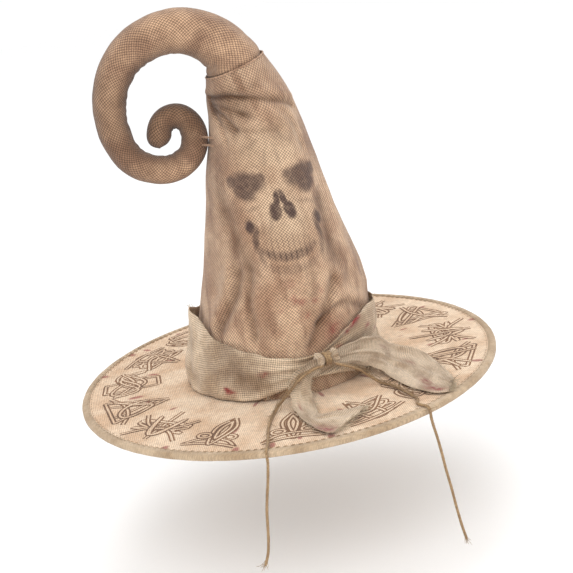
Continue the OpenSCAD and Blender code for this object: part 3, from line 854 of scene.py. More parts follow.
def ribbons(name, strokes, width, lift, finish):
    """Flat ribbons on the brim's face along strokes, each a little above the one before."""
    bm = bmesh.new()
    for number, line in enumerate(strokes):
        ahead = np.gradient(line, axis=0)
        ahead /= np.maximum(np.linalg.norm(ahead, axis=1), 1e-6)[:, None]
        side = np.stack([-ahead[:, 1], ahead[:, 0]], axis=1)
        made = bmesh.ops.create_grid(bm, x_segments=len(line) - 1, y_segments=1, size=0.5)
        for vert in made["verts"]:
            i = int(round((vert.co.x + 0.5) * (len(line) - 1)))
            x, y = line[i] + side[i] * width * vert.co.y
            vert.co = (x, y, lift + 0.05 * (number % 6))
    x, y = np.array([v.co[:2] for v in bm.verts]).T
    for vert, height in zip(bm.verts, brim_height(x, y)):
        vert.co.z += height
    bm.normal_update()
    for face in bm.faces:
        if face.normal.z < 0:
            face.normal_flip()
    mesh = bpy.data.meshes.new(name)
    bm.to_mesh(mesh)
    bm.free()
    return finish_mesh(name, mesh, finish)


def stitches(name, count, radius, z, share, thick, finish, rise=0.45):
    """A ring of stitches, each a short thread that dips into the cloth at both ends."""
    lines = []
    for k in range(count):
        span = 2 * math.pi * share / count
        middle = 2 * math.pi * (k + 0.5) / count
        lines.append([(radius * math.cos(middle + span * t), radius * math.sin(middle + span * t),
                       z + rise * (1 - (2 * t) ** 2)) for t in (-0.5, -0.3, 0, 0.3, 0.5)])
    return threads(name, lines, thick, finish)


def ring_cloth(name, inner, outer, height, thickness, finish, facing=1, rings=40, around=240):
    """A flat ring of cloth whose face height() gives, facing up (1) or down (-1)."""
    def place(u, v):
        radius, angle = inner + (outer - inner) * v, 2 * math.pi * u
        x, y = radius * np.cos(angle), radius * np.sin(angle)
        return np.stack([x, y, height(x, y)], axis=1)

    # Across the map, distances round the ring are true and distances along its radius shrunk,
    # so drops drawn round on it come out long, as drops thrown from the cone's side do
    def polar(u, v):
        return 2 * math.pi * u * MAP_RADIUS, (inner + (outer - inner) * v) * DROP_SHORTENING

    piece = cloth(name, around, rings, place, finish, closed=True,
                  away_from=(0, 0, -facing * 1e4), maps={"UVMap": polar})
    return thicken(piece, thickness)


SETTLING_FRAMES = 20


def swell(piece, pinned, pressure, cap, grow):
    """Cloth simulation of a stuffed piece: air pressure fills it, its cloth is cut a little
    large so that it wrinkles, and no point moves further than cap millimetres."""
    group = piece.vertex_groups.new(name="held")
    group.add([int(i) for i in pinned], 1.0, "REPLACE")
    before = np.zeros(len(piece.data.vertices) * 3)
    piece.data.vertices.foreach_get("co", before)
    sim = piece.modifiers.new("Filling", "CLOTH")
    sim.settings.quality = 5
    sim.settings.use_pressure = True
    sim.settings.uniform_pressure_force = pressure
    sim.settings.vertex_group_mass = "held"
    sim.settings.shrink_min = -grow
    sim.settings.effector_weights.gravity = 0
    sim.point_cache.frame_start, sim.point_cache.frame_end = 1, SETTLING_FRAMES
    for number in range(1, SETTLING_FRAMES + 1):
        bpy.context.scene.frame_set(number)
    shaped = piece.evaluated_get(bpy.context.evaluated_depsgraph_get())
    after = np.zeros(len(before))
    shaped.data.vertices.foreach_get("co", after)
    piece.modifiers.remove(sim)
    piece.vertex_groups.clear()
    move = (after - before).reshape(-1, 3)
    far = np.linalg.norm(move, axis=1)[:, None]
    move *= np.minimum(1, cap * MM / np.maximum(far, 1e-9))
    piece.data.vertices.foreach_set("co", (before.reshape(-1, 3) + move).ravel())
    piece.data.update()
    bpy.context.scene.frame_set(1)


# ---- What a user may change ----

def length_property(name, description, default, low, high):
    """A length in metres with its limits in millimetres."""
    return FloatProperty(name=name, description=description, default=default * MM,
                         min=low * MM, max=high * MM, unit="LENGTH", precision=5)


def dye_property(name, description, default):
    """A colour from its sRGB hex value."""
    return FloatVectorProperty(name=name, description=description, subtype="COLOR", size=3,
                               min=0, max=1, default=linear(default)[:3])


class WitchHatSizes(bpy.types.PropertyGroup):
    """Sizes that may be changed without leaving the CAD frame."""

    cone_pitch: length_property("Cone weave", "Spacing of the cone's sackcloth threads", 2.3, 1, 4)
    brim_pitch: length_property("Brim weave", "Spacing of the brim's threads", 1.8, 1, 4)
    gauze_pitch: length_property("Gauze weave", "Spacing of the gauze's threads, drawn a "
                                 "little coarser than real gauze so that it shows", 2.1, 1, 4)
    fold_share: FloatProperty(name="Folds", description="Depth of the cone's folds, as a share "
                              "of the folds as worn", default=1.0, min=0, max=1.3)
    strands: IntProperty(name="Strands", description="Strands twisted into the twine",
                         default=3, min=2, max=4)
    motif_line: length_property("Motif band", "Width of the printed motifs' bands", 5.6, 3, 7)


class WitchHatColours(bpy.types.PropertyGroup):
    """Dyes of the cloths, and the colour of their painted shade."""

    cone_light: dye_property("Cone, pale", "Pale ground of the cone", "#DCB999")
    cone_dark: dye_property("Cone, clouds", "Brown clouds on the cone", "#B58F72")
    cone_streak: dye_property("Cone, streaks", "Brown streaks down the cone", "#8E674F")
    curl_light: dye_property("Curl, pale", "Pale ground of the curl", "#C5A081")
    curl_dark: dye_property("Curl, clouds", "Brown clouds on the curl", "#93715A")
    brim_light: dye_property("Brim, pale", "Pale ground of the brim", "#E3CAAE")
    brim_dark: dye_property("Brim, clouds", "Brown clouds on the brim", "#CDAB8A")
    ink_light: dye_property("Motifs, pale", "Printed motifs where the dye is thin", "#8A5F38")
    ink_dark: dye_property("Motifs, dark", "Printed motifs where the dye is thick", "#644122")
    skull_pale: dye_property("Skull, pale", "Pale parts of the printed skull", "#DFC4A4")
    skull_dark: dye_property("Skull, dark", "Dark parts of the printed skull", "#4F3B35")
    gauze_light: dye_property("Gauze, pale", "Pale threads of the gauze", "#DCC5A9")
    gauze_dark: dye_property("Gauze, patches", "Grey-brown patches on the gauze", "#B0967A")
    # Colour of the painted shade, with the print's airbrush, in the folds, the crease, the cone's
    # sides and the curl's edges and hollow
    shadow_dye: dye_property("Airbrush and painted shade", "Dark airbrush and painted shade in folds, hollows and along the curl's edges", "#5F422D")
    red_stain: dye_property("Stains", "Red stains", "#8E3A34")


def size(name):
    """A size in its own unit."""
    return getattr(bpy.context.scene.witch_hat_sizes, name)


def dye(name):
    """A dye as a colour with its alpha."""
    return (*getattr(bpy.context.scene.witch_hat_colours, name), 1.0)


# ---- Operators ----

class WITCHHAT_OT_camera(bpy.types.Operator):
    """Sets the camera a little left of the front and above the brim, tipped to one side"""

    bl_idname = "witch_hat.camera"
    bl_label = "Camera"

    def execute(self, context):
        data = bpy.data.cameras.new("camera")
        data.lens, data.sensor_width = 85, 36
        camera = bpy.data.objects.new("camera", data)
        context.scene.collection.objects.link(camera)
        turn, rise, roll = (math.radians(a) for a in CAMERA_ANGLES)
        right = Vector((math.cos(turn), math.sin(turn), 0))
        back = Vector((math.sin(turn) * math.cos(rise), -math.cos(turn) * math.cos(rise),
                       math.sin(rise)))
        up = back.cross(right)
        tipped_right = math.cos(roll) * right - math.sin(roll) * up
        tipped_up = math.sin(roll) * right + math.cos(roll) * up
        place = CAMERA_ASIDE * right + Vector((0, 0, CAMERA_AIM)) + CAMERA_DISTANCE * back
        camera.matrix_world = Matrix((
            (tipped_right.x, tipped_up.x, back.x, place.x),
            (tipped_right.y, tipped_up.y, back.y, place.y),
            (tipped_right.z, tipped_up.z, back.z, place.z), (0, 0, 0, 1)))
        context.scene.camera = camera
        return {"FINISHED"}


class WITCHHAT_OT_twine(bpy.types.Operator):
    """Makes the two jute twine tails, their frayed ends and the turns round the gauze"""

    bl_idname = "witch_hat.twine"
    bl_label = "Twine"

    def execute(self, context):
        jute = material("jute")
        rng = random.Random(3)
        for side, lay, drop in (("left", LEFT_LAY, LEFT_DROP), ("right", RIGHT_LAY, RIGHT_DROP)):
            path = smooth_path(lay + drop, 1.0)
            tail = twisted(f"twine_{side}_tail", path, TWINE_DIAMETER / 2 * 0.93, jute,
                           strands=size("strands"), body=None)
            end = Vector(path[-1])
            down = (end - Vector(path[-6])).normalized()
            frays = [wander(rng, end - down * rng.uniform(2, 9), down + Vector(
                [rng.uniform(-0.35, 0.35) for _ in range(3)]), rng.uniform(6, 13), 1.6, 0.16)
                for _ in range(16)]
            frayed = threads(f"twine_{side}_end", frays, 0.2, jute, body=f"{side}_tail")
            fluff = []
            for _ in range(34):
                i = rng.randrange(10, len(path) - 120)
                out = Vector((rng.uniform(-1, 1), rng.uniform(-1, 0.4), rng.uniform(0, 1)))
                fluff.append(wander(rng, path[i], Vector(path[i + 4]) - Vector(path[i])
                                    + out * 2.2, rng.uniform(5, 16), 1.8, 0.22, BRIM_TOP + 1))
            # Strands that have worked loose of the twine between the knot and the brim
            for number in range(5):
                run = path[4 + 3 * number:int(len(path) * rng.uniform(0.3, 0.44))]
                along = np.linspace(0, 1, len(run))
                drift = np.stack([ripple(run, 24, 5.0 * number + k) for k in range(3)], axis=1)
                drift[:, 2] = np.abs(drift[:, 2]) + 0.2
                loose = np.sin(math.pi * along)[:, None] ** 0.5
                fluff.append([tuple(at) for at in run + (drift * 6.0 + (0, 0, 0.6)) * loose])
            fluff = threads(f"twine_{side}_fluff", fluff, 0.24, jute)
            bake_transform(tail)
            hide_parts(f"twine_{side}_lay", f"twine_{side}_drop")
        # Turns round the waist of the gather
        spin = Matrix.Translation(GATHER) @ Matrix.Rotation(math.radians(GATHER_TURN), 4, "Z")
        coil = []
        for i in range(160):
            turn = 2 * math.pi * 3.4 * i / 159
            reach = 5.7 + 0.35 * math.sin(turn * 1.7)
            coil.append(spin @ Vector((-3.4 + 6.8 * i / 159, reach * math.cos(turn),
                                       reach * math.sin(turn))))
        wrap = twisted("twine_wrap_turns", smooth_path(coil, 0.9), 1.35, jute, lay=7.0)
        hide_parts("twine_wrap")
        return {"FINISHED"}


class WITCHHAT_OT_cone(bpy.types.Operator):
    """Makes the printed sackcloth cone with its folds, its lining and its back seam"""

    bl_idname = "witch_hat.cone"
    bl_label = "Cone"

    def execute(self, context):
        apex, spread = 463.0, 0.22

        def spot(u, v):
            return 90 + 360 * u, FOOT + (SEAM_HEIGHT - 0.5 - FOOT) * v

        def bias(u, v):
            direction, z = spot(u, v)
            turned = np.radians((direction - 90 - (FACE_DIRECTION + 360 - 90)) * spread + 45)
            reach = (apex - z) * 1.025
            return reach * np.sin(turned), reach * np.cos(turned)

        def panel(u, v):
            direction, z = spot(u, v)
            return np.radians(direction - 360 - FACE_DIRECTION) * lookup(CONE_RADIUS, z), z

        def values(u, v, points):
            direction, z = spot(u, v)
            s = round_cone(direction, z)
            # Painted shade: darker at the foot under the band, in the fold valleys, in the crease
            # under the curl's seam and the wrinkles fanning from it, and down the cone's left and
            # right sides as seen from the front. The cone is also darker towards the top and in
            # strokes beside the skull.
            shade = 0.12 * (1 - ease(0, 30, z)) + 0.24 * ease(225, 330, z)
            for line, width, depth in CONE_FOLDS:
                if depth < 0:
                    shade += 0.13 * abs(depth) * near_line(s, z, line, width)
            for line, width, dark in [([(-62, 215), (-62, 180)], 9, 0.2),
                                      ([(-50, 160), (-48, 140)], 9, 0.3),
                                      ([(44, 136), (48, 185)], 9, 0.25),
                                      ([(15, 125), (10, 90)], 7, 0.25),
                                      ([(-26, 300), (-52, 303)], 12, 0.4),
                                      ([(-52, 296), (-30, 286), (-8, 282)], 4, 0.22),
                                      ([(-54, 292), (-40, 276), (-30, 262)], 4, 0.22),
                                      ([(-50, 306), (-20, 310), (10, 306)], 3.5, 0.2),
                                      ([(-80, 240), (-90, 120)], 22, 0.25),
                                      ([(96, 230), (110, 110)], 24, 0.25)]:
                shade += dark * near_line(s, z, line, width)
            rough = ripple(points, 16) * 0.12 + ripple(points, 6) * 0.08
            red = stains(s, z, [(-5.6, 100.5, 4, 1), (1, 97.2, 3.5, 1), (14.6, 95.8, 3, 0.8),
                                (-7.5, 115.5, 4, 0.5), (34, 62, 9, 0.7), (4, 84, 3, 0.8),
                                (22, 104, 3, 0.6), (-20, 92, 2.5, 0.6)])
            return {"shade": shade * (1 + rough) + rough * 0.5, "red": red}

        cone = cloth("cone", 256, 150, lambda u, v: cone_point(*spot(u, v)),
                     material("cone_sackcloth"), maps={"UVMap": bias, "panel": panel},
                     closed=True, away_from=(0, 0, 150), values=values)
        thicken(cone, 1.3)
        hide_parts("crown_shell")

        def lining_place(u, v):
            height = 1.2 + 286 * np.minimum(v / 0.93, 1)
            points = cone_point(360 * u, height, out=-1.6)
            shut = ease(0.93, 1.0, v)[:, None] * 0.999
            return points + (np.array([6.6, 0, 289]) - points) * shut

        lining = cloth("cone_lining", 120, 70, lining_place, material("lining"), closed=True,
                       away_from=(0, 0, 150))
        thicken(lining, 0.8)
        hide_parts("crown_lining")

        # Felled seam down the back, with a row of stitches along each side of it
        def seam_place(u, v):
            z = 84 + (319 - 84) * v
            across = (u - 0.5) * 8.4
            out = 0.35 + 1.1 * np.sqrt(np.clip(1 - (2 * u - 1) ** 4, 0, 1))
            direction = 90 - np.degrees(across / lookup(CONE_RADIUS, z))
            return cone_point(direction, z, out=out)

        seam = cloth("back_seam", 10, 120, seam_place, material("cone_sackcloth"),
                     away_from=(0, 0, 150),
                     maps={"UVMap": lambda u, v: (u * 8.4, v * 236), "panel":
                           lambda u, v: (u * 8.4 + 250, v * 236)})
        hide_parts("crown_back_seam")
        lines = []
        for side in (-2.7, 2.7):
            for z in np.arange(88, 316, 5.2):
                at = z + np.array([0, 0.9, 2.1, 3.0])
                direction = 90 - np.degrees(side / lookup(CONE_RADIUS, at))
                lines.append(cone_point(direction, at, out=np.array([1.2, 1.75, 1.75, 1.2])))
        threads("back_seam_stitches", lines, 0.3, material("dark_thread"))
        return {"FINISHED"}


class WITCHHAT_OT_curl(bpy.types.Operator):
    """Makes the stuffed curl on top of the cone, its seam and the threads that tack it down"""

    bl_idname = "witch_hat.curl"
    bl_label = "Curl"

    def execute(self, context):
        path = curl_path()
        total = path[-1, 3]
        under = 26.0                # length tucked inside the cone

        def radius_at(s):
            left = np.clip(1 - s / total, 0, 1)
            return (CURL_THIN + (CURL_THICK - 6 - CURL_THIN) * left ** 1.6
                    + 6 * np.exp(-np.maximum(s, 0) / 14))

        def station(v):
            """Length along the curl; negative where it is tucked inside the cone."""
            return -under + (total + under) * v

        def place(u, v):
            s = station(v)
            i = np.clip(s, 0, None)
            x, z, heading = (np.interp(i, path[:, 3], path[:, k]) for k in range(3))
            heading = np.where(s < 0, math.radians(CURL_HEADING - 6), heading)
            x = x + np.minimum(s, 0) * np.cos(heading)
            z = z + np.minimum(s, 0) * np.sin(heading)
            r = radius_at(s)
            r = np.where(s < 0, 28.8, r * (0.93 + 0.07 * ease(0, 3, s)))
            left = total - s
            r = np.where(left < r, np.sqrt(np.maximum(r * r - (r - left) ** 2, 0.0001)), r)
            first = s + under
            r = r * np.sqrt(np.clip(1 - (1 - np.clip(first / 7, 0, 1)) ** 2, 0.000004, 1))
            angle = 2 * math.pi * u + math.pi      # 0 on the outside of the bend
            inside = ease(-0.1, 1.0, -np.cos(angle))
            tight = ease(30, 120, s) * (1 - ease(-16, 0, s - total))
            at = np.stack([x + 9 * np.cos(angle), 9 * np.sin(angle), z], axis=1)
            wave = np.sin(2 * math.pi * s / 14 + 1.6 * np.sin(angle) + 9 * ripple(at, 34))
            relief = (0.022 * r * inside * wave * tight + 0.55 * ripple(at, 17)
                      + 0.25 * ripple(at, 7, 4.0)) * ease(2, 14, s) * (1 - ease(-8, 0, s - total))
            r = r + relief - 0.35
            return np.stack([x + r * np.cos(angle) * np.sin(heading), r * np.sin(angle),
                             z - r * np.cos(angle) * np.cos(heading)], axis=1)

        def bias(u, v):
            s = station(v)
            across = (u - 0.5) * 2 * math.pi * radius_at(s)
            return (across + s) * 0.7071, (s - across) * 0.7071

        def values(u, v, points):
            s = station(v)
            angle = 2 * math.pi * u + math.pi
            rough = ripple(points, 14) * 0.14 + ripple(points, 6) * 0.06
            # Painted shade: darker along the curl's inner and outer edges as seen from the front,
            # in the hollow inside its bend and next to its seam. Along its length it darkens from
            # 100 mm, lightens from 215 mm and darkens again over the coil.
            edges = 1 - np.abs(np.sin(angle))
            hollow = ease(0.1, 1.0, -np.cos(angle)) * (1 - ease(150, 230, s))
            shade = (0.04 + 0.42 * ease(100, 180, s) - 0.32 * ease(215, 275, s)
                     + 0.54 * ease(285, 340, s) + (0.24 + 0.3 * ease(40, 160, s)) * edges
                     + 0.3 * hollow
                     + 0.12 * (1 - ease(0, 14, s)))
            return {"shade": shade + rough, "red": 0 * s}

        curl = cloth("curl", 52, 170, place, material("curl_sackcloth"), maps={"UVMap": bias},
                     closed=True, values=values, body=None)
        face_outwards(curl, merge=0.2 * MM)
        held = [v.index for v in curl.data.vertices
                if v.co.z < 0.322 and v.co.x > -0.04 or v.co.z < 0.34 and v.co.x > 0.0]
        swell(curl, held, pressure=4.0, cap=1.6, grow=0.03)
        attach(curl, "root")
        smoother = curl.modifiers.new("Smooth", "SUBSURF")
        smoother.levels = smoother.render_levels = 1
        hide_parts("curl_skin", "curl_filling")

        # The seam between cone and curl, drawn into puckers by its stitches
        tip = math.radians(90 - CURL_HEADING)

        def roll_place(u, v):
            turn, section = 2 * math.pi * u, 2 * math.pi * v
            pucker = 0.5 + 0.5 * np.sin(30 * turn + 1.4 * np.sin(3 * turn))
            ring = CURL_THICK + 0.1 * pucker
            thick = 0.45 + 0.35 * pucker
            out = ring + thick * np.cos(section)
            x, y, z = out * np.cos(turn), out * np.sin(turn), thick * 1.25 * np.sin(section)
            return np.stack([CURL_START[0] + x * math.cos(tip) + z * math.sin(tip), y,
                             CURL_START[1] - x * math.sin(tip) + z * math.cos(tip)], axis=1)

        roll = cloth("curl_seam_roll", 240, 10, roll_place, material("seam_cloth"), closed=True)
        face_outwards(roll)
        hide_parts("curl_seam")
        tacks = []
        for z in (256, 264):
            for k in range(3):
                shift = Vector((0, 0.4 * (k - 1), 0.7 * (k - 1)))
                ends = [Vector((-48.8, -11.4, z)) + shift, Vector((-43, -16.6, z - 0.6)) + shift,
                        Vector((-37, -19.6, z - 2)) + shift]
                tacks.append(smooth_path(ends, 1.0))
        tack = threads("curl_tack_threads", tacks, 0.3, material("seam_cloth"))
        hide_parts("curl_tack")
        refinish("curl_wire", "wire")
        return {"FINISHED"}


class WITCHHAT_OT_brim(bpy.types.Operator):
    """Makes the brim: printed face, motifs, underside, bound edge, stitches and core"""

    bl_idname = "witch_hat.brim"
    bl_label = "Brim"

    def execute(self, context):
        face = ring_cloth("brim_face", HOLE_RADIUS, BRIM_RADIUS - 1, brim_height, 0.8,
                          material("brim_sackcloth"), rings=56, around=300)
        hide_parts("brim_top")
        strokes = motif_strokes()
        band = size("motif_line") / MM
        outline = ribbons("brim_motifs", strokes, band, 0.10, material("brim_ink"))
        ribbons("brim_motif_ground", strokes, band - 3.5, 0.125, material("brim_sackcloth"))
        under = ring_cloth("brim_lower_face", HOLE_RADIUS, BRIM_RADIUS - 1,
                           lambda x, y: 0.05 + 0.05 * ripple(np.stack([x, y, 0 * x], axis=1), 20),
                           0.7, material("underside_cloth"), facing=-1, rings=30)
        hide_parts("brim_underside")
        tape = ring_cloth("seam_tape", 93.4, 101, lambda x, y: -0.72 + 0.06 * np.sin(
            60 * np.arctan2(y, x)), 0.5, material("binding_tape"), facing=-1, rings=4)
        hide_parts("crown_seam_tape")

        # Bias strip folded round the edge
        profile = [(-8, 5.8), (-7.6, 6.0), (-5, 6.05), (-3, 6.0), (-1.6, 5.8), (-0.7, 5.3),
                   (-0.15, 4.3), (0, 2.6), (-0.15, 0.9), (-0.7, -0.1), (-1.8, -0.65), (-4, -0.7),
                   (-8, -0.7)]
        bm = bmesh.new()
        points = [bm.verts.new((BRIM_RADIUS + x, 0, z)) for x, z in profile]
        edges = [bm.edges.new(pair) for pair in zip(points, points[1:])]
        bmesh.ops.spin(bm, geom=points + edges, cent=(0, 0, 0), axis=(0, 0, 1), steps=288,
                       angle=2 * math.pi, use_merge=True)
        bmesh.ops.remove_doubles(bm, verts=bm.verts, dist=0.01)
        bmesh.ops.recalc_face_normals(bm, faces=bm.faces)
        at = np.array([v.co for v in bm.verts])
        wave = 0.22 * ripple(at, 12) + 0.16 * ripple(at, 5)
        for vert, out in zip(bm.verts, wave):
            reach = math.hypot(vert.co.x, vert.co.y)
            fall = 1 if reach > BRIM_RADIUS + profile[0][0] + 0.2 else 0.5     # flatter at its hem
            vert.co.z += 0.5 * out * fall * (1 if vert.co.z > 2 else -1)
            vert.co.x *= 1 + 0.8 * out * fall / reach
            vert.co.y *= 1 + 0.8 * out * fall / reach
        bm.normal_update()
        if sum(f.normal.dot(Vector((f.calc_center_median().x, f.calc_center_median().y, 0)))
               for f in bm.faces) < 0:
            bmesh.ops.reverse_faces(bm, faces=bm.faces)
        mesh = bpy.data.meshes.new("brim_edge")
        bm.to_mesh(mesh)
        bm.free()
        binding = thicken(finish_mesh("brim_edge", mesh, material("binding_tape")), 0.55)
        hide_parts("brim_binding")
        # One row through the binding's hem, and one beside it in the face
        hem = BRIM_RADIUS + profile[0][0]
        row = stitches("brim_edge_stitches", 190, hem + 1.6, 5.95, 0.62, 0.24,
                       material("thread"))
        inner = stitches("brim_row_stitches", 190, hem - 1.7, BRIM_TOP - 0.1, 0.66, 0.26,
                         material("brim_thread"), rise=0.4)
        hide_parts("brim_stitching")
        refinish("brim_core", "foam")
        refinish("brim_wire", "wire")
        return {"FINISHED"}


class WITCHHAT_OT_head_opening(bpy.types.Operator):
    """Makes the ribbed sweatband inside the head opening and its stitches"""

    bl_idname = "witch_hat.head_opening"
    bl_label = "Head opening"

    def execute(self, context):
        def place(u, v):
            turn = 2 * math.pi * u
            at = np.stack([90 * np.cos(turn), 90 * np.sin(turn), 31 * v], axis=1)
            r = 90.62 + 0.08 * ripple(at, 14)
            return np.stack([r * np.cos(turn), r * np.sin(turn), 0.2 + 30.6 * v], axis=1)

        band = cloth("sweatband_ribbon", 180, 16, place, material("grosgrain"), closed=True,
                     inside=True)
        thicken(band, 0.6)
        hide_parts("sweatband")
        refinish("sweatband_stitching", "thread")
        return {"FINISHED"}


class WITCHHAT_OT_gauze(bpy.types.Operator):
    """Makes the gauze band round the cone, its gathered knot and its two loose tails"""

    bl_idname = "witch_hat.gauze"
    bl_label = "Gauze"

    def execute(self, context):
        linen = material("gauze")
        rng = random.Random(8)

        def spot(u, v):
            direction = -257 + 360 * u
            at = wrapped(direction)
            low, high = lookup(BAND_LOW, at), lookup(BAND_HIGH, at)
            edge = np.stack([np.cos(np.radians(at)) * 90, np.sin(np.radians(at)) * 90, 0 * at],
                            axis=1)
            ragged = 1.3 * ripple(edge, 16) + 0.5 * ripple(edge, 5)
            return at, low + 0.5 + (high + ragged * v - low - 0.5) * v

        def folds(at, v):
            pull = np.exp(-(np.abs(wrapped(at - GATHER_DIRECTION)) / 34) ** 1.3)
            wander_at = np.stack([at / 9, v * 1.4, 0 * at], axis=1)
            phase = 2.2 * ripple(wander_at, 1.6)
            tight = np.sin(2 * math.pi * 3.4 * v + phase)
            loose = np.sin(2 * math.pi * 1.5 * v + 2 * phase + 0.5)
            return pull * 1.5 * tight + (1 - pull) * 1.1 * loose, pull

        def place(u, v):
            at, z = spot(u, v)
            fold = folds(at, v)[0]
            out = lookup(BAND_OFF, at) + 2.4 + fold + 1.6 * (1 - v) ** 3
            points = cone_point(at, z, out=out, relief=False)
            points[:, 0] -= 4.0 * ease(60, 90, z) * ease(150, 180, np.abs(at)) * v
            return points

        def cut(u, v):
            return 600 * u, spot(u, v)[1] + 4 * np.sin(u * 30)

        def values(u, v, points):
            at, z = spot(u, v)
            fold, pull = folds(at, v)
            # Painted shade: darker in the hollows of the folds and where they gather towards the
            # knot. The band is also darker in two patches at the front left.
            shade = (0.04 - 0.09 * fold + 0.12 * ripple(points, 18) + 0.08 * pull
                     + 0.34 * near_line(at, z, [(-138, 60), (-126, 42), (-118, 28)], 13)
                     + 0.25 * near_line(at, z, [(-140, 40), (-128, 20)], 14))
            red = stains(at, z, [(-50, 66, 3.4, 1.4), (-54, 62, 3, 1.3), (-59, 58, 2.4, 1.2),
                                 (-134, 15, 3.4, 1.2), (-137, 19, 2, 1.1), (-112, 34, 2.6, 1.2),
                                 (-66, 44, 2.6, 1.3), (-38, 52, 3, 0.8), (-24, 40, 3, 0.6)])
            return {"shade": shade, "red": red}

        band = cloth("gauze_band", 420, 34, place, linen, maps={"UVMap": cut}, closed=True,
                     away_from=(0, 0, 40), values=values)
        thicken(band, 0.5)
        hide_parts("hat_band", "band_tacks")

        def fray(name, along, out_of, reach, count, floor=None):
            """Loose threads that leave an edge, given as points and the way off it."""
            lines = []
            for _ in range(count):
                i = rng.randrange(len(along))
                heading = Vector(out_of[i]) + Vector([rng.uniform(-0.8, 0.8) for _ in range(3)])
                lines.append(wander(rng, along[i], heading, rng.uniform(0.4, 1) * reach, 1.4,
                                    0.3, floor))
            return threads(name, lines, 0.17, material("linen_thread"))

        turns = np.linspace(0, 1, 300)
        top = place(turns, np.ones(300))
        low = place(turns, np.zeros(300))
        outward = np.stack([top[:, 0], top[:, 1], 0 * turns], axis=1) / 95
        band_fray = fray("gauze_band_fray", top, outward * 0.3 + (0, 0, 0.8), 5, 130)
        band_fray_low = fray("gauze_band_lower_fray", low, outward * 0.5 + (0, 0, -0.6), 5, 90,
                             BRIM_TOP + 0.6)

        # The gathered knot: pleats that run through its waist
        spin = Matrix.Translation(GATHER) @ Matrix.Rotation(math.radians(GATHER_TURN), 4, "Z")
        outline = [(-12.5, 1.0), (-11.5, 5.5), (-8.5, 7.6), (-3.6, 4.4), (0, 4.0), (3.6, 4.4),
                   (8.5, 7.6), (11.5, 5.5), (12.5, 1.0)]

        def knot_place(u, v):
            x = -12.5 + 25 * v
            turn = 2 * math.pi * u
            at = np.stack([x, 8 * np.cos(turn), 8 * np.sin(turn)], axis=1)
            pleat = np.sin(8 * turn + 1.5 * ripple(at, 9)) * 0.8 * ease(2, 7, np.abs(x))
            r = lookup(outline, x) + pleat + 0.5 * ripple(at, 6)
            points = np.stack([x, r * np.cos(turn), r * np.sin(turn), 1 + 0 * x], axis=1)
            return (points @ np.array(spin).T)[:, :3]

        knot = cloth("gauze_knot", 72, 40, knot_place, linen, closed=True, away_from=GATHER,
                     maps={"UVMap": lambda u, v: (v * 40, u * 60)},
                     values=lambda u, v, p: {"shade": 0.12 + 0.2 * ripple(p, 5), "red": 0 * u})
        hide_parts("band_gather")

        tails = [("side_gauze", "side_tail", SIDE_ROWS, 110, 56, 2.7, 1.7,
                  [(0.86, 0.9, 0.09, 1.0), (0.7, 0.8, 0.07, 0.8), (0.4, 0.6, 0.04, 0.6),
                   (0.25, 0.35, 0.04, 0.5)], (0.24, 0.09), 0.0108),
                 ("front_gauze", "front_tail", FRONT_ROWS, 90, 40, 2.2, 1.8,
                  [(0.9, 0.9, 0.12, 1.0), (0.7, 0.45, 0.06, 0.7)], (0.14, 0.05), 0.0048)]
        for name, node, rows, along, across, count, height, spots, flat_size, area in tails:
            def lay(u, v, rows=rows, count=count, height=height):
                base = gauze_rows(rows, u, v)
                step = 0.004
                down = gauze_rows(rows, u, np.clip(v + step, 0, 1)) - gauze_rows(
                    rows, u, np.clip(v - step, 0, 1))
                over = gauze_rows(rows, np.clip(u + step, 0, 1), v) - gauze_rows(
                    rows, np.clip(u - step, 0, 1), v)
                normal = np.cross(down, over)
                normal /= np.maximum(np.linalg.norm(normal, axis=1), 1e-9)[:, None]
                normal *= np.where(normal @ np.array([0.1, -0.55, 0.8]) < 0, -1, 1)[:, None]
                at = np.stack([u * 3, v * 2, 0 * u], axis=1)
                fold = 0.5 + 0.5 * np.sin(2 * math.pi * count * u + 3.0 * ripple(at, 0.9))
                tall = height * (1 - 0.55 * ease(0.3, 0.9, v)) * ease(0, 0.15, v)
                lift = 0.25 + tall * fold ** 1.5 + 0.8 * (ripple(at, 0.35) + 0.6) * ease(
                    0.2, 0.5, v)
                points = base + normal * lift[:, None]
                wide = np.linalg.norm(over, axis=1)[:, None] + 1e-9
                ragged = 2.2 * ripple(np.stack([v * 60, u, 0 * u], axis=1), 5)
                points += over / wide * (ragged * (2 * u - 1) * np.abs(2 * u - 1))[:, None]
                flat_z = brim_height(points[:, 0], points[:, 1]) + 1.0
                near_edge = np.hypot(points[:, 0], points[:, 1]) > BRIM_RADIUS - EDGE_REACH
                points[:, 2] = np.maximum(points[:, 2], flat_z + 1.0 * near_edge)
                return points

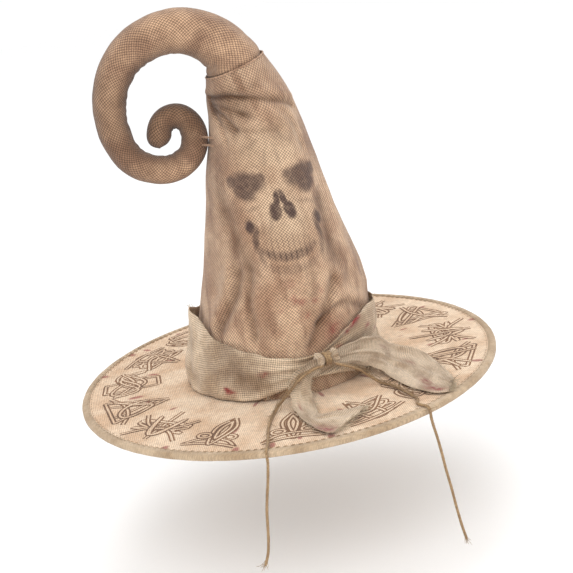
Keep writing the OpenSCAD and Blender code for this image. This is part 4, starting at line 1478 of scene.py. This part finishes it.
            length = float(np.linalg.norm(np.diff(gauze_rows(
                rows, np.full(80, 0.5), np.linspace(0, 1, 80)), axis=0), axis=1).sum())
            tail = cloth(
                name, across, along, lay, linen, away_from=(0, 200, -1e4),
                maps={"UVMap": lambda u, v: (u * flat_size[1] / MM * 1.1, v * length)},
                # Painted shade darkens each tail where it leaves the knot
                values=lambda u, v, p: {
                    "shade": 0.02 + 0.16 * ripple(p, 12) + 0.16 * (1 - ease(0, 0.25, v)),
                    "red": stains(u * 100, v * 100, [(a * 100, b * 100, c * 100, d)
                                                     for a, b, c, d in spots])})
            thicken(tail, 0.5)
            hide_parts(node)
            run = np.linspace(0.12, 1, 120)
            borders = []
            ways = []
            for side in (0.0, 1.0):
                line = lay(np.full(120, side), run)
                inner = lay(np.full(120, 0.5), run)
                borders += list(line)
                ways += list((line - inner) / np.linalg.norm(line - inner, axis=1)[:, None])
            ending = lay(np.linspace(0, 1, 80), np.ones(80))
            before = lay(np.linspace(0, 1, 80), np.full(80, 0.93))
            off = (ending - before) / np.linalg.norm(ending - before, axis=1)[:, None]
            edge_fray = fray(name + "_fray", borders, ways, 6, 110, BRIM_TOP + 0.9)
            end_fray = fray(name + "_end_fray", list(ending), list(off), 13, 90,
                            BRIM_TOP + 0.9)
        return {"FINISHED"}


class WITCHHAT_OT_stage(bpy.types.Operator):
    """Sets the plain pale floor and the soft studio light"""

    bl_idname = "witch_hat.stage"
    bl_label = "Stage"

    def execute(self, context):
        bm = bmesh.new()
        bmesh.ops.create_grid(bm, x_segments=1, y_segments=1, size=6000)
        for vert in bm.verts:
            vert.co.z = FLOOR_LEVEL
        mesh = bpy.data.meshes.new("floor")
        bm.to_mesh(mesh)
        bm.free()
        made, tree, shader = start_material("white_paper_floor", 0.9)
        # Paper's felt grain, just pale enough to tell from plain white
        grain = clouds(tree, add(tree, "TexCoord", {}, output=3), 0.6 * MM, 0.3, 0.7)
        pale = add(tree, "Mix", {0: grain, 6: linear("#FEFEFE"), 7: linear("#FBFBFB")}, **RGBA)
        tree.links.new(pale, shader.inputs["Base Color"])
        finish_mesh("floor", mesh, made, body=None)
        world = bpy.data.worlds.new("studio")
        context.scene.world = world
        world.use_nodes = True
        sky = world.node_tree.nodes["Background"]
        sky.inputs["Color"].default_value = (1, 1, 1, 1)
        sky.inputs["Strength"].default_value = 1.02
        for name, place, aim, wide, power in [
                ("key_light", (-0.5, -1.5, 1.5), (0, 0, 0.12), 1.3, 13),
                ("right_light", (1.7, -0.7, 0.9), (0, 0, 0.15), 1.2, 5),
                ("top_light", (0.1, 0.6, 2.0), (0, 0, 0.1), 1.4, 8)]:
            data = bpy.data.lights.new(name, "AREA")
            data.shape, data.size, data.energy = "DISK", wide, power
            light = bpy.data.objects.new(name, data)
            context.scene.collection.objects.link(light)
            light.location = place
            light.rotation_euler = (Vector(place) - Vector(aim)).to_track_quat("Z", "Y").to_euler()
        context.scene.view_settings.view_transform = "Standard"
        return {"FINISHED"}


OPERATORS = (WITCHHAT_OT_camera, WITCHHAT_OT_twine, WITCHHAT_OT_cone, WITCHHAT_OT_curl,
             WITCHHAT_OT_brim, WITCHHAT_OT_head_opening, WITCHHAT_OT_gauze, WITCHHAT_OT_stage)


class WITCHHAT_PT_sidebar(bpy.types.Panel):
    """Lists the hat's sizes, dyes and pieces"""

    bl_idname = "WITCHHAT_PT_sidebar"
    bl_label = "Witch Hat"
    bl_space_type = "VIEW_3D"
    bl_region_type = "UI"
    bl_category = "Witch Hat"

    def draw(self, context):
        for group in (context.scene.witch_hat_sizes, context.scene.witch_hat_colours):
            box = self.layout.box()
            for name in group.__annotations__:
                box.prop(group, name)
        for operator in OPERATORS:
            self.layout.operator(operator.bl_idname)


CLASSES = (WitchHatSizes, WitchHatColours, *OPERATORS, WITCHHAT_PT_sidebar)


def register():
    for item in CLASSES:
        bpy.utils.register_class(item)
    bpy.types.Scene.witch_hat_sizes = PointerProperty(type=WitchHatSizes)
    bpy.types.Scene.witch_hat_colours = PointerProperty(type=WitchHatColours)


def unregister():
    del bpy.types.Scene.witch_hat_colours
    del bpy.types.Scene.witch_hat_sizes
    for item in reversed(CLASSES):
        bpy.utils.unregister_class(item)


def main():
    """Builds the hat and its stage."""
    register()
    for operator in OPERATORS:
        getattr(bpy.ops.witch_hat, operator.bl_idname.split(".")[1])()


if __name__ == "__main__":
    main()
